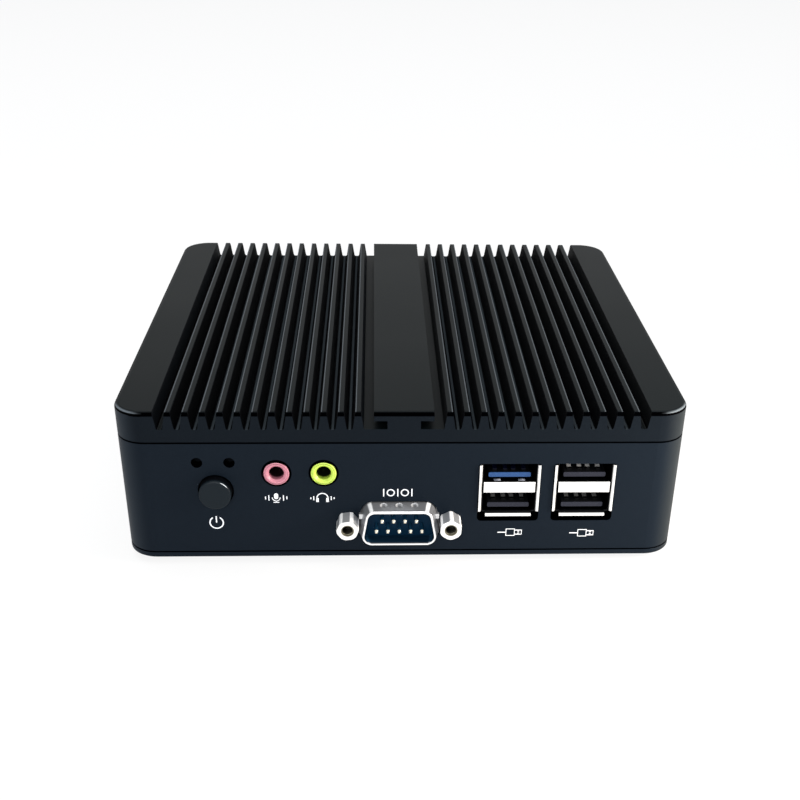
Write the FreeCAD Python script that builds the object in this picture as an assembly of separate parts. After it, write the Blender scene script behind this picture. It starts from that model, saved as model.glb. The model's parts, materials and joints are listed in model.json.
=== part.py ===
import FreeCAD, Part
import math
import os

# Fanless industrial pc: a finned aluminium lid, a four-walled body frame and a bottom cover,
# with the main board hung high so that its connectors reach down from its underside.
# Millimetres. +Z up, X across the front, front panel towards -Y.
# Origin: middle of the footprint, on the surface that the rubber feet stand on.

# ---------------------------------------------------------------- case
case_width = 136.0
case_depth = 128.0
corner_radius = 7.5
wall = 2.5
inner_radius = 5.0
foot_height = 2.0
foot_radius = 6.0
foot_taper = 0.6             # how much smaller a foot is at the floor
foot_edge_round = 0.4
foot_inset = 16.5            # case edge to the middle of a foot
cover_thickness = 1.6
cover_edge_round = 0.4
body_height = 30.0
lid_height = 7.9
seam_chamfer = 0.25          # the two chamfers at a seam make its shadow line

# ---------------------------------------------------------------- lid
lid_edge_round = 1.1
side_band = 9.8              # flat band along each side of the lid
fin_pitch = 4.0
fin_tip = 1.25
fin_valley = 4.4             # depth of the gaps between fins
fin_draft = 9.0              # degrees on each flank
valley_root_radius = 0.5
rail_width = 14.1            # centre rail at its top
rail_neck = 7.8
rail_cap = 2.2               # thickness of the rail's overhanging wings
rail_undercut = 2.1
rail_gap = 3.05              # rail wing to the first fin, at the top
pocket_depth = 1.7           # recess under the lid
pocket_rim = 3.0             # rim left at the front and rear of the recess

# ---------------------------------------------------------------- corner bosses and screws
boss_width = 9.5
boss_length = 17.5
screw_radius = 1.5
screw_clearance = 0.2
thread_gap = 0.02
pan_head_radius = 2.75
pan_head_height = 1.8
flat_head_radius = 2.9
flat_head_height = 1.4
lid_screw_inset = 6.8        # case edge to the lid screw, both ways
lid_screw_bite = 6.0         # thread length in the lid
hole_runout = 0.5            # hole past a screw's end
recess_arm = 1.5             # cross recess in a screw head
recess_slot = 0.45
recess_depth = 1.0
head_recess = 2.6
cover_screw_inset = 15.8     # case front or rear to the cover screw
cover_screw_length = 8.0

# ---------------------------------------------------------------- mounting nuts, 75 mm square
mount_pitch = 75.0
mount_thread_radius = 1.65
nut_flange_radius = 3.95
nut_flange_height = 2.0
nut_shank_radius = 2.7
nut_setback = 0.1            # nut behind the cover's outer face
press_gap = 0.03

# ---------------------------------------------------------------- board
board_drop = 11.9            # case top to the board's underside
board_thickness = 1.6
board_gap = 0.4              # board edge to the walls and bosses
post_width = 9.0
post_length = 8.0
post_spacing = 56.0
post_screw_bite = 6.0
seat_gap = 0.02              # parts that rest on each other
fuse_bite = 0.1              # how far the solids of one piece reach into each other

# ---------------------------------------------------------------- heat path
chip_width = 25.0
chip_height = 1.0
die_width = 15.0
die_height = 0.4
chip_y = 5.0
pad_thickness = 0.5
block_width = 50.0
block_depth = 56.0
block_screw_spacing = 44.0
block_screw_bite = 4.0

# ---------------------------------------------------------------- memory, storage, clock cell
module_width = 67.6
module_length = 30.0
module_thickness = 1.0
module_chip_width = 10.0
module_chip_length = 13.0
module_chip_height = 1.0
module_chip_pitch = 16.0
module_chip_edge = 5.0
module_bite = 4.0            # length of the module inside its socket
socket_lip = 1.2             # socket below the card that it holds
socket_back = 3.0
arm_width = 2.5
arm_gap = 0.5
module_drop = 2.6            # board underside to the module's near face
module_post_gap = 1.7        # board post to the socket's arm
module_y = -22.0
card_width = 22.0
card_length = 42.0
card_thickness = 0.8
card_drop = 2.4
card_chip_height = 1.1
card_bite = 3.0
card_chips = ((6.0, 12.0, 3.0), (22.0, 10.0, 6.0))   # start along the card, length, side margin
card_socket_side = 1.0
card_screw_radius = 0.8
card_screw_head = 2.4
card_screw_height = 1.0
card_screw_gap = 0.2         # screw end to the board
card_x = -6.0
card_y = 24.0
cell_radius = 10.0
cell_height = 3.2
cell_chamfer = 0.4
cell_y = -22.0
cell_drop = 1.0              # board underside to the cell
holder_rim = 1.6
holder_length = 17.2
holder_height = 2.4
choke_width = 7.0
choke_height = 3.0
choke_chamfer = 0.6
choke_count = 3
choke_pitch = 9.0
choke_inset = 34.0           # left case side to the first choke
choke_y = -38.5
capacitor_radius = 3.15
capacitor_height = 5.8
capacitor_count = 4
capacitor_pitch = 8.0
capacitor_inset = 18.0       # right case side to the row of capacitors
capacitor_y = 6.0

# ---------------------------------------------------------------- indicators, button
lamp_inset = (19.1, 26.7)    # left case side to each lamp
lamp_hole_radius = 1.35
lamp_height = 26.4           # above the case bottom
lamp_radius = 1.15
lamp_base = 3.0
lamp_reach = 1.0
button_inset = 23.1          # left case side to the button
button_height = 18.85
button_radius = 3.85
button_hole_radius = 4.3
button_proud = 2.5
button_travel = 1.0
button_flange = 1.0
button_flange_rim = 0.8      # flange past the edge of the hole
button_edge_round = 0.5
running_gap = 0.35
stem_radius = 1.9
stem_length = 1.5
spring_coils = 3.5
spring_wire = 0.45
spring_wire_sides = 6        # the round wire is drawn with this many flats
spring_radius = 2.7
plunger_radius = 1.7
plunger_bite = 2.0           # plunger inside the switch housing
switch_width = 9.0
switch_depth = 7.0
spring_length = 5.0

# ---------------------------------------------------------------- audio jacks
jack_inset = (37.7, 48.9)    # left case side to each jack
jack_height = 23.55
jack_nose_radius = 3.05
jack_bore_radius = 1.8
jack_hole_radius = 3.4
jack_proud = 0.4
jack_body_width = 8.4
jack_body_length = 12.0
jack_bore_length = 12.0
jack_mouth = 0.5
jack_edge_round = 0.3
jack_ring_radius = 2.75      # fine groove around the jack's face
jack_ring_width = 0.16
jack_ring_depth = 0.12
jack_slot_start = 3.0        # spring slots in the sides of the jack
jack_slot_length = 7.0
jack_slot_height = 2.4
jack_bore_wall = 0.3
jack_leaf_thickness = 0.3
jack_leaf_gap = 0.05
jack_leaf_height = 1.8
jack_leaf_lift = 0.15        # bore wall to the spring's bow
jack_leaf_edge = 0.2         # spring ends inside the jack's side

# ---------------------------------------------------------------- serial ports
serial_stack_gap = 3.75      # front flange to the data port beside it
serial_height = 10.1
serial_shell_width = 18.8    # at the mouth, measured to where the slanted sides meet the base line
serial_shell_height = 9.5
serial_shell_radius = 2.4
serial_shell_proud = 3.7
serial_root_grow = (2.0, 0.9)  # how much wider and taller the shell is where it meets the panel
serial_root_radius = 2.8
serial_slant = 10.0
serial_sheet = 0.55
serial_flange_width = 31.0
serial_flange_height = 12.6
serial_flange_radius = 1.5
serial_flange_sheet = 0.8
serial_rim_round = 0.35      # outer edge of the shell's mouth
serial_block_width = 19.2    # insulator behind the flange
serial_block_height = 9.8
dimple_radius = 0.9          # contact dimples pressed into the shell's top
dimple_depth = 0.2
dimple_setback = 2.4         # shell rim to the dimples
dimple_pitch = 3.75
serial_cut_gap = 0.35
serial_insert_depth = 10.0
pin_pitch = 2.77
pin_row_gap = 2.84
pin_radius = 0.5
pin_recess = 0.75            # shell rim to the pin tips
pin_tail = 6.0               # pin behind the flange
insert_recess = 4.6          # shell rim to the insulator's face
jackscrew_spacing = 24.99
jackscrew_flats = 5.0
jackscrew_round = 2.72       # turned radius that takes the hexagon's corners off
jackscrew_proud = 4.6
jackscrew_crown = 0.25       # length of the cone at the tip
jackscrew_face_radius = 2.6
jackscrew_stops = (8.0, 27.0)   # degrees past flat side up at which each screw is tight
jackscrew_hole = 1.4
jackscrew_hole_depth = 4.2
shank_radius = 1.4
shank_length = 6.0
lock_nut_flats = 5.0
lock_nut_height = 1.4
tab_width = 1.3
tab_proud = 1.0
tab_lift = 0.1               # tab to the panel's outer face
tab_rise = 1.9               # tab above the jackscrew line
ribbon_width = 12.4
ribbon_thickness = 0.9
ribbon_bend = 2.6
header_width = 15.0
header_depth = 6.0
header_height = 5.0
plug_height = 2.2
plug_inset = 0.6

# ---------------------------------------------------------------- data ports (two high)
stack_inset = (42.45, 24.3)  # right case side to each pair of ports
stack_width = 13.2
stack_length = 17.5
stack_sheet = 0.35
stack_corner = 0.5
stack_base = 0.85            # board underside to the shell
stack_proud = 0.5
port_opening = 5.3
middle_shield = 3.05
lip_flare = 0.75
lip_length = 1.0
lip_bend = 0.55              # where the lip turns outward, ahead of the shell
lip_bend_out = 0.26
lip_heel = 0.15
shield_edge_round = 0.4
shield_setback = 0.1
side_lip_bottom = 0.2        # shield between side lip end and lower wall
bottom_lip_width = 11.2
panel_gap = 0.2
stack_cut_bottom = 10.0
stack_cut_top = 25.9
stack_cut_radius = 1.0
tongue_width = 10.2
tongue_thickness = 1.2
tongue_setback = 1.1
tongue_offset = 0.95         # tongue to the far wall of its opening
tongue_chamfer = 0.2
rear_block = 3.5
contact_width = 1.0
contact_thickness = 0.25
contact_offsets = (-3.5, -1.0, 1.0, 3.5)
contact_setback = 1.6        # tongue tip to the contacts
contact_bump = (0.6, 2.4, 3.2, 6.0)   # along the contact: rise, top, top end, flat again
contact_rise = 0.75

# ---------------------------------------------------------------- rear side
rear_cut_radius = 0.5
rear_setback = 0.2           # connector faces behind the panel's outer face
inlet_inset = 19.0           # right case side to the power inlet
inlet_width = 9.0
inlet_height = 11.0
inlet_length = 14.0
inlet_edge_round = 0.5
inlet_bore_radius = 3.1
inlet_bore_depth = 9.5
inlet_back = 1.5             # inlet's rear wall behind the pin
inlet_pin_radius = 1.25
inlet_pin_round = 0.6
inlet_pin_setback = 1.2
leaf_slot_start = 3.0        # slot for the inlet's leaf contact
leaf_slot_length = 6.0
leaf_slot_width = 2.6
leaf_slot_bite = 0.4         # slot into the bore
leaf_thickness = 0.3
leaf_gap = 0.05
leaf_side_gap = 0.1
leaf_lift = 0.3              # leaf ends above the inlet's underside
leaf_rise = 1.3
video_inset = 35.0           # right case side to the video port
video_width = 15.0
video_height = 5.9
video_length = 11.5
video_chamfer = 1.6
video_sheet = 0.5
video_block = 2.5
video_tongue_inset = 2.2
video_tongue_setback = 1.6
video_tongue_thickness = 1.0
video_tongue_rise = 0.3      # tongue above the middle of the port
network_inset = (52.5, 70.0) # right case side to each network port
network_width = 16.0
network_height = 13.4
network_length = 21.0
network_corner = 0.4
network_sheet = 0.4
network_setback = 0.6
network_sill = 2.2           # port underside to its mouth
network_mouth_width = 11.8
network_mouth_height = 7.9
network_mouth_depth = 13.0
latch_width = 6.2
latch_height = 2.4
network_contact_count = 8
network_contact_pitch = 1.02
network_contact_width = 0.34
network_contact_wire = 0.4
network_contact_start = 4.0
network_contact_top = 10.5   # where the wire stands highest
network_contact_end = 12.6
network_contact_rise = 1.7

# ---------------------------------------------------------------- derived places
half_width = case_width / 2
half_depth = case_depth / 2
case_bottom = foot_height
body_bottom = case_bottom + cover_thickness
body_top = body_bottom + body_height
case_top = body_top + lid_height
board_under = case_top - board_drop
board_top = board_under + board_thickness
pocket_roof = body_top + pocket_depth
valley_floor = case_top - fin_valley
flank_lean = math.tan(math.radians(fin_draft))
boss_corners = [(sx, sy) for sx in (-1, 1) for sy in (-1, 1)]
cut_over = 5.0               # how far a cutting tool runs past the material
flange_back = wall + serial_flange_sheet

lamp_x = [lamp - half_width for lamp in lamp_inset]
button_x = button_inset - half_width
jack_x = [jack - half_width for jack in jack_inset]
stack_x = [half_width - stack for stack in stack_inset]
serial_x = stack_x[0] - stack_width / 2 - lip_flare - serial_stack_gap - serial_flange_width / 2
inlet_x = half_width - inlet_inset
video_x = half_width - video_inset
network_x = [half_width - port for port in network_inset]
choke_x = choke_inset - half_width
capacitor_x = half_width - capacitor_inset

# the rear serial port sits midway between the network ports and the corner boss
boss_face = half_width - wall - boss_width
rear_serial_x = (network_x[1] - network_width / 2 - boss_face) / 2

# the memory socket sits beside the board post, the clock cell midway between it and the other post
post_face = half_width - wall - post_width
arm_reach = arm_gap + arm_width
module_x = module_post_gap + arm_reach + module_width / 2 - post_face
cell_x = (module_x + module_width / 2 + arm_reach + post_face) / 2

os.makedirs("parts", exist_ok=True)


def vec(x, y, z):
    return FreeCAD.Vector(x, y, z)


def box(x0, x1, y0, y1, z0, z1):
    return Part.makeBox(x1 - x0, y1 - y0, z1 - z0, vec(x0, y0, z0))


def rod_y(radius, x, z, y0, y1):
    return Part.makeCylinder(radius, y1 - y0, vec(x, y0, z), vec(0, 1, 0))


def rod_z(radius, x, y, z0, z1):
    return Part.makeCylinder(radius, z1 - z0, vec(x, y, z0), vec(0, 0, 1))


def cone_z(radius0, radius1, x, y, z0, z1):
    return Part.makeCone(radius0, radius1, z1 - z0, vec(x, y, z0), vec(0, 0, 1))


def moved(shape, x=0.0, y=0.0, z=0.0):
    copy = shape.copy()
    copy.translate(vec(x, y, z))
    return copy


def edges_along(shape, axis):
    # straight edges that run along one axis
    found = []
    for edge in shape.Edges:
        run = edge.Vertexes[-1].Point - edge.Vertexes[0].Point
        across = run - axis * run.dot(axis)
        if run.Length > 0.01 and across.Length < 0.001:
            found.append(edge)
    return found


def edges_at_height(shape, z):
    level = [e for e in shape.Edges if abs(e.BoundBox.ZMin - z) < 0.001]
    return [e for e in level if abs(e.BoundBox.ZMax - z) < 0.001]


def rounded_plate(width, depth, z0, z1, radius):
    plate = box(-width / 2, width / 2, -depth / 2, depth / 2, z0, z1)
    return plate.makeFillet(radius, edges_along(plate, vec(0, 0, 1)))


def prism(points, axis_from, axis_to):
    # a flat polygon drawn through points, carried from axis_from to axis_to
    face = Part.Face(Part.makePolygon(points + [points[0]]))
    return face.extrude(axis_to - axis_from)


def section_y(outline, y0, y1):
    # outline in X and Z, carried along Y
    points = [vec(x, y0, z) for x, z in outline]
    return prism(points, vec(0, y0, 0), vec(0, y1, 0))


def section_x(outline, x0, x1):
    # outline in Y and Z, carried along X
    points = [vec(x0, y, z) for y, z in outline]
    return prism(points, vec(x0, 0, 0), vec(x1, 0, 0))


def section_z(outline, z0, z1):
    points = [vec(x, y, z0) for x, y in outline]
    return prism(points, vec(0, 0, z0), vec(0, 0, z1))


def on_front(shape, x=0.0):
    # shapes for a panel are drawn about x = 0 with the panel's outer face at y = 0, outside towards -Y
    return moved(shape, x, -half_depth)


def on_rear(shape, x=0.0):
    turned = shape.copy()
    turned.rotate(vec(0, 0, 0), vec(0, 0, 1), 180)
    return moved(turned, x, half_depth)


def save(name, solids):
    shape = solids[0] if len(solids) == 1 else Part.makeCompound(solids)
    for solid in shape.Solids:
        if not solid.isValid():
            print("not valid:", name)
    shape.exportStep("parts/" + name + ".step")
    size = shape.BoundBox
    print("%-24s %2d solids  x %7.2f %7.2f  y %7.2f %7.2f  z %6.2f %6.2f" % (
        name, len(shape.Solids), size.XMin, size.XMax, size.YMin, size.YMax, size.ZMin, size.ZMax))


# ================================================================ lid
def lid_valley(left, right):
    # one gap between two fins: drafted flanks, rounded roots
    lean = fin_valley * flank_lean
    rise = cut_over * flank_lean
    outline = [(left - rise, case_top + cut_over),
               (left + lean, valley_floor),
               (right - lean, valley_floor),
               (right + rise, case_top + cut_over)]
    tool = section_y(outline, -half_depth - cut_over, half_depth + cut_over)
    roots = [e for e in edges_along(tool, vec(0, 1, 0)) if abs(e.BoundBox.ZMin - valley_floor) < 0.001]
    return tool.makeFillet(valley_root_radius, roots)


def rail_side_valley(side):
    # the wider gap beside the centre rail, which also runs in under the rail's wing
    wing = rail_width / 2
    neck = rail_neck / 2
    wing_under = case_top - rail_cap
    floor = wing_under - rail_undercut
    flank = wing + rail_gap
    lean = (case_top - floor) * flank_lean
    rise = cut_over * flank_lean
    outline = [(side * wing, case_top + cut_over),
               (side * wing, wing_under),
               (side * neck, wing_under),
               (side * neck, floor),
               (side * (flank - lean), floor),
               (side * (flank + rise), case_top + cut_over)]
    return section_y(outline, -half_depth - cut_over, half_depth + cut_over)


def fin_gaps():
    # the left and right top edge of each gap on the +X side
    band = half_width - side_band
    tip = fin_tip
    gap = fin_pitch - fin_tip
    edge = rail_width / 2 + rail_gap + tip
    gaps = []
    while edge + gap + tip + gap <= band + 0.001:
        gaps.append((edge, edge + gap))
        edge += fin_pitch
    gaps.append((edge, band))
    return gaps


def make_lid():
    lid = rounded_plate(case_width, case_depth, body_top, case_top, corner_radius)
    lid = lid.makeFillet(lid_edge_round, edges_at_height(lid, case_top))
    lid = lid.makeChamfer(seam_chamfer, edges_at_height(lid, body_top))
    tools = []
    for left, right in fin_gaps():
        tools.append(lid_valley(left, right))
        tools.append(lid_valley(-right, -left))
    for side in (-1, 1):
        tools.append(rail_side_valley(side))
    lid = lid.cut(tools)
    pocket = rounded_plate(case_width - 2 * side_band, case_depth - 2 * pocket_rim,
                           body_top - cut_over, pocket_roof, inner_radius)
    holes = [pocket]
    for sx, sy in boss_corners:
        x = sx * (half_width - lid_screw_inset)
        y = sy * (half_depth - lid_screw_inset)
        holes.append(rod_z(screw_radius + thread_gap, x, y, body_top - cut_over,
                           body_top + lid_screw_bite + hole_runout))
    for sy in (-1, 1):
        y = chip_y + sy * block_screw_spacing / 2
        holes.append(rod_z(screw_radius + thread_gap, 0, y, body_top - cut_over,
                           pocket_roof + block_screw_bite + hole_runout))
    return lid.cut(holes)


# ================================================================ body frame and cover
def rounded_slot(width, z0, z1, radius):
    # a rounded cut-out through a panel, about x = 0
    tool = box(-width / 2, width / 2, -cut_over, wall + cut_over, z0, z1)
    return tool.makeFillet(radius, edges_along(tool, vec(0, 1, 0)))


def d_profile(width, height, radius, y0, y1):
    # D-shaped prism about x = 0 and the serial port's own height, wide side down
    lean = height * math.tan(math.radians(serial_slant))
    low = case_bottom + serial_height - height / 2
    outline = [(-width / 2, low), (width / 2, low),
               (width / 2 - lean, low + height), (-width / 2 + lean, low + height)]
    body = section_y(outline, y0, y1)
    return body.makeFillet(radius, edges_along(body, vec(0, 1, 0)))


def serial_cutout():
    grow = 2 * serial_cut_gap
    width = serial_shell_width + serial_root_grow[0]
    height = serial_shell_height + serial_root_grow[1]
    tools = [d_profile(width + grow, height + grow, serial_root_radius + serial_cut_gap,
                       -cut_over, wall + cut_over)]
    for side in (-1, 1):
        tools.append(rod_y(shank_radius + screw_clearance, side * jackscrew_spacing / 2,
                           case_bottom + serial_height, -cut_over, wall + cut_over))
    return tools


def d_wire(width, height, radius, y):
    # outline of the D-shaped prism at one depth
    prism = d_profile(width, height, radius, y, y + wall)
    face = [f for f in prism.Faces if f.BoundBox.YMax < y + 0.001][0]
    return face.OuterWire


def flared_shell(shrink, front, back):
    # D-shaped body that widens from its mouth to the panel and runs straight from there to its back
    width = serial_shell_width - 2 * shrink
    height = serial_shell_height - 2 * shrink
    root = (width + serial_root_grow[0], height + serial_root_grow[1], serial_root_radius - shrink)
    mouth = d_wire(width, height, serial_shell_radius - shrink, front)
    flare = Part.makeLoft([mouth, d_wire(*root, 0)], True, True)
    return flare.fuse(d_profile(*root, 0, back)).removeSplitter()


def front_openings():
    tools = []
    round_holes = [(lamp_hole_radius, x, lamp_height) for x in lamp_x]
    round_holes += [(button_hole_radius, button_x, button_height)]
    round_holes += [(jack_hole_radius, x, jack_height) for x in jack_x]
    for radius, x, height in round_holes:
        tools.append(on_front(rod_y(radius, x, case_bottom + height, -cut_over, wall + cut_over)))
    for tool in serial_cutout():
        tools.append(on_front(tool, serial_x))
    width = stack_width + 2 * lip_flare + 2 * panel_gap
    for x in stack_x:
        slot = rounded_slot(width, case_bottom + stack_cut_bottom, case_bottom + stack_cut_top,
                            stack_cut_radius)
        tools.append(on_front(slot, x))
    return tools


def rear_openings():
    tools = []
    for tool in serial_cutout():
        tools.append(on_rear(tool, rear_serial_x))
    connectors = [(inlet_x, inlet_width, inlet_height), (video_x, video_width, video_height)]
    connectors += [(x, network_width, network_height) for x in network_x]
    for x, width, height in connectors:
        slot = rounded_slot(width + 2 * panel_gap, board_under - height - panel_gap,
                            board_under + panel_gap, rear_cut_radius)
        tools.append(on_rear(slot, x))
    return tools


def make_body():
    body = rounded_plate(case_width, case_depth, body_bottom, body_top, corner_radius)
    seam_edges = edges_at_height(body, body_top) + edges_at_height(body, body_bottom)
    body = body.makeChamfer(seam_chamfer, seam_edges)
    inside = rounded_plate(case_width - 2 * wall, case_depth - 2 * wall, body_bottom - cut_over,
                           body_top + cut_over, inner_radius)
    body = body.cut(inside)
    bosses = []
    for sx, sy in boss_corners:
        x0, x1 = sorted((sx * (half_width - wall - boss_width), sx * (half_width - wall / 2)))
        y0, y1 = sorted((sy * (half_depth - wall - boss_length), sy * (half_depth - wall / 2)))
        block = box(x0, x1, y0, y1, body_bottom, body_top)
        outer = rounded_plate(case_width - wall, case_depth - wall, body_bottom, body_top,
                              corner_radius - wall / 2)
        bosses.append(block.common(outer))
    for sx in (-1, 1):
        x0, x1 = sorted((sx * (half_width - wall - post_width), sx * (half_width - wall / 2)))
        for sy in (-1, 1):
            y = sy * post_spacing / 2
            bosses.append(box(x0, x1, y - post_length / 2, y + post_length / 2,
                              body_bottom, board_under))
    body = body.fuse(bosses).removeSplitter()
    holes = front_openings() + rear_openings()
    for sx, sy in boss_corners:
        x = sx * (half_width - lid_screw_inset)
        y = sy * (half_depth - lid_screw_inset)
        holes.append(rod_z(screw_radius + screw_clearance, x, y, body_bottom - cut_over,
                           body_top + cut_over))
        holes.append(rod_z(pan_head_radius + screw_clearance, x, y, body_bottom - cut_over,
                           body_bottom + head_recess))
        y = sy * (half_depth - cover_screw_inset)
        holes.append(rod_z(screw_radius + thread_gap, x, y, body_bottom - cut_over,
                           case_bottom + cover_screw_length + hole_runout))
        x, y = post_place(sx, sy)
        holes.append(rod_z(screw_radius + thread_gap, x, y, board_under - post_screw_bite - hole_runout,
                           board_under + cut_over))
    return body.cut(holes)


def post_place(sx, sy):
    return sx * (half_width - wall - post_width / 2), sy * post_spacing / 2


def mount_places():
    return [(sx * mount_pitch / 2, sy * mount_pitch / 2) for sx, sy in boss_corners]


def make_cover():
    cover = rounded_plate(case_width, case_depth, case_bottom, body_bottom, corner_radius)
    cover = cover.makeChamfer(seam_chamfer, edges_at_height(cover, body_bottom))
    cover = cover.makeFillet(cover_edge_round, edges_at_height(cover, case_bottom))
    holes = []
    for sx, sy in boss_corners:
        x = sx * (half_width - lid_screw_inset)
        y = sy * (half_depth - cover_screw_inset)
        grow = thread_gap
        holes.append(rod_z(screw_radius + screw_clearance, x, y, case_bottom - cut_over,
                           body_bottom + cut_over))
        holes.append(cone_z(flat_head_radius + grow, screw_radius + grow, x, y,
                            case_bottom, case_bottom + flat_head_height + grow))
    for x, y in mount_places():
        holes.append(rod_z(nut_shank_radius + press_gap, x, y, case_bottom - cut_over,
                           body_bottom + cut_over))
    return cover.cut(holes)


def make_feet():
    feet = []
    for sx, sy in boss_corners:
        x = sx * (half_width - foot_inset)
        y = sy * (half_depth - foot_inset)
        foot = cone_z(foot_radius - foot_taper, foot_radius, x, y, 0, case_bottom)
        feet.append(foot.makeFillet(foot_edge_round, edges_at_height(foot, 0)))
    return feet


def cross_recess(x, y, z_face, into):
    # cross-shaped driver recess; into is +1 when the recess runs up from its face, -1 when down
    z0, z1 = sorted((z_face - into * cut_over, z_face + into * recess_depth))
    return [box(x - recess_arm, x + recess_arm, y - recess_slot, y + recess_slot, z0, z1),
            box(x - recess_slot, x + recess_slot, y - recess_arm, y + recess_arm, z0, z1)]


def make_cover_screws():
    screws = []
    for sx, sy in boss_corners:
        x = sx * (half_width - lid_screw_inset)
        y = sy * (half_depth - cover_screw_inset)
        head = cone_z(flat_head_radius, screw_radius, x, y, case_bottom + thread_gap,
                      case_bottom + flat_head_height + thread_gap)
        shank = rod_z(screw_radius, x, y, case_bottom + flat_head_height,
                      case_bottom + cover_screw_length)
        screw = head.fuse(shank).removeSplitter()
        screws.append(screw.cut(cross_recess(x, y, case_bottom + thread_gap, 1)))
    return screws


def make_lid_screws():
    screws = []
    for sx, sy in boss_corners:
        x = sx * (half_width - lid_screw_inset)
        y = sy * (half_depth - lid_screw_inset)
        seat = body_bottom + head_recess - seat_gap
        head = rod_z(pan_head_radius, x, y, seat - pan_head_height, seat)
        shank = rod_z(screw_radius, x, y, seat - fuse_bite, body_top + lid_screw_bite)
        screws.append(head.fuse(shank).cut(cross_recess(x, y, seat - pan_head_height, 1)))
    return screws


def make_mount_nuts():
    nuts = []
    for x, y in mount_places():
        flange = rod_z(nut_flange_radius, x, y, body_bottom + seat_gap, body_bottom + nut_flange_height)
        shank = rod_z(nut_shank_radius, x, y, case_bottom + nut_setback, body_bottom + seat_gap)
        bore = rod_z(mount_thread_radius, x, y, case_bottom - cut_over, body_bottom + cut_over)
        nuts.append(flange.fuse(shank).removeSplitter().cut(bore))
    return nuts


# ================================================================ board and what it carries
def make_board():
    width = case_width - 2 * wall - 2 * board_gap
    depth = case_depth - 2 * wall - 2 * board_gap
    board = box(-width / 2, width / 2, -depth / 2, depth / 2, board_under + seat_gap, board_top)
    cuts = []
    for sx, sy in boss_corners:
        x0, x1 = sorted((sx * (boss_face - board_gap), sx * (half_width + cut_over)))
        y0, y1 = sorted((sy * (half_depth - wall - boss_length - board_gap),
                         sy * (half_depth + cut_over)))
        cuts.append(box(x0, x1, y0, y1, board_under - cut_over, board_top + cut_over))
        x, y = post_place(sx, sy)
        cuts.append(rod_z(screw_radius + screw_clearance, x, y, board_under - cut_over,
                          board_top + cut_over))
    return board.cut(cuts)


def make_board_screws():
    screws = []
    for sx, sy in boss_corners:
        x, y = post_place(sx, sy)
        head = rod_z(pan_head_radius, x, y, board_top + seat_gap, board_top + pan_head_height)
        shank = rod_z(screw_radius, x, y, board_under - post_screw_bite, board_top + fuse_bite)
        screws.append(head.fuse(shank).cut(cross_recess(x, y, board_top + pan_head_height, -1)))
    return screws


def make_processor():
    half = chip_width / 2
    die = die_width / 2
    base_top = board_top + chip_height
    base = box(-half, half, chip_y - half, chip_y + half, board_top + seat_gap, base_top)
    cap = box(-die, die, chip_y - die, chip_y + die, base_top, base_top + die_height)
    return base.fuse(cap).removeSplitter()


def make_heat_path():
    die_top = board_top + chip_height + die_height
    half = die_width / 2
    pad = box(-half, half, chip_y - half, chip_y + half, die_top, die_top + pad_thickness)
    block_base = die_top + pad_thickness
    block = box(-block_width / 2, block_width / 2, chip_y - block_depth / 2, chip_y + block_depth / 2,
                block_base, pocket_roof - seat_gap)
    holes = []
    screws = []
    for sy in (-1, 1):
        y = chip_y + sy * block_screw_spacing / 2
        head_top = block_base + flat_head_height
        holes.append(cone_z(flat_head_radius + thread_gap, screw_radius + thread_gap, 0, y,
                            block_base, head_top))
        holes.append(rod_z(screw_radius + screw_clearance, 0, y, block_base - cut_over,
                           pocket_roof + cut_over))
        head = cone_z(flat_head_radius, screw_radius, 0, y, block_base + thread_gap,
                      head_top + thread_gap)
        shank = rod_z(screw_radius, 0, y, head_top, pocket_roof + block_screw_bite)
        screw = head.fuse(shank).removeSplitter()
        screws.append(screw.cut(cross_recess(0, y, block_base + thread_gap, 1)))
    return pad, block.cut(holes), screws


def make_memory():
    near = board_under - module_drop
    far = near - module_thickness
    x0 = module_x - module_width / 2
    x1 = module_x + module_width / 2
    y1 = module_y + module_length / 2
    y0 = module_y - module_length / 2
    card = box(x0, x1, y0, y1, far, near)
    chips = []
    chip_y0 = y0 + module_chip_edge
    for step in (-1.5, -0.5, 0.5, 1.5):
        x = module_x + step * module_chip_pitch - module_chip_width / 2
        chips.append(box(x, x + module_chip_width, chip_y0, chip_y0 + module_chip_length,
                         far - module_chip_height, near + module_chip_height))
    module = card.fuse(chips).removeSplitter()
    bar = box(x0 - arm_reach, x1 + arm_reach, y1 - module_bite, y1 + socket_back,
              far - socket_lip, board_under)
    arm_low = far - socket_lip / 2
    arms = [box(x0 - arm_reach, x0 - arm_gap, y0, y1, arm_low, board_under),
            box(x1 + arm_gap, x1 + arm_reach, y0, y1, arm_low, board_under)]
    socket = bar.fuse(arms).removeSplitter()
    slot = box(x0 - seat_gap, x1 + seat_gap, y0, y1 + seat_gap, far - seat_gap, near + seat_gap)
    return module, socket.cut(slot)


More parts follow.
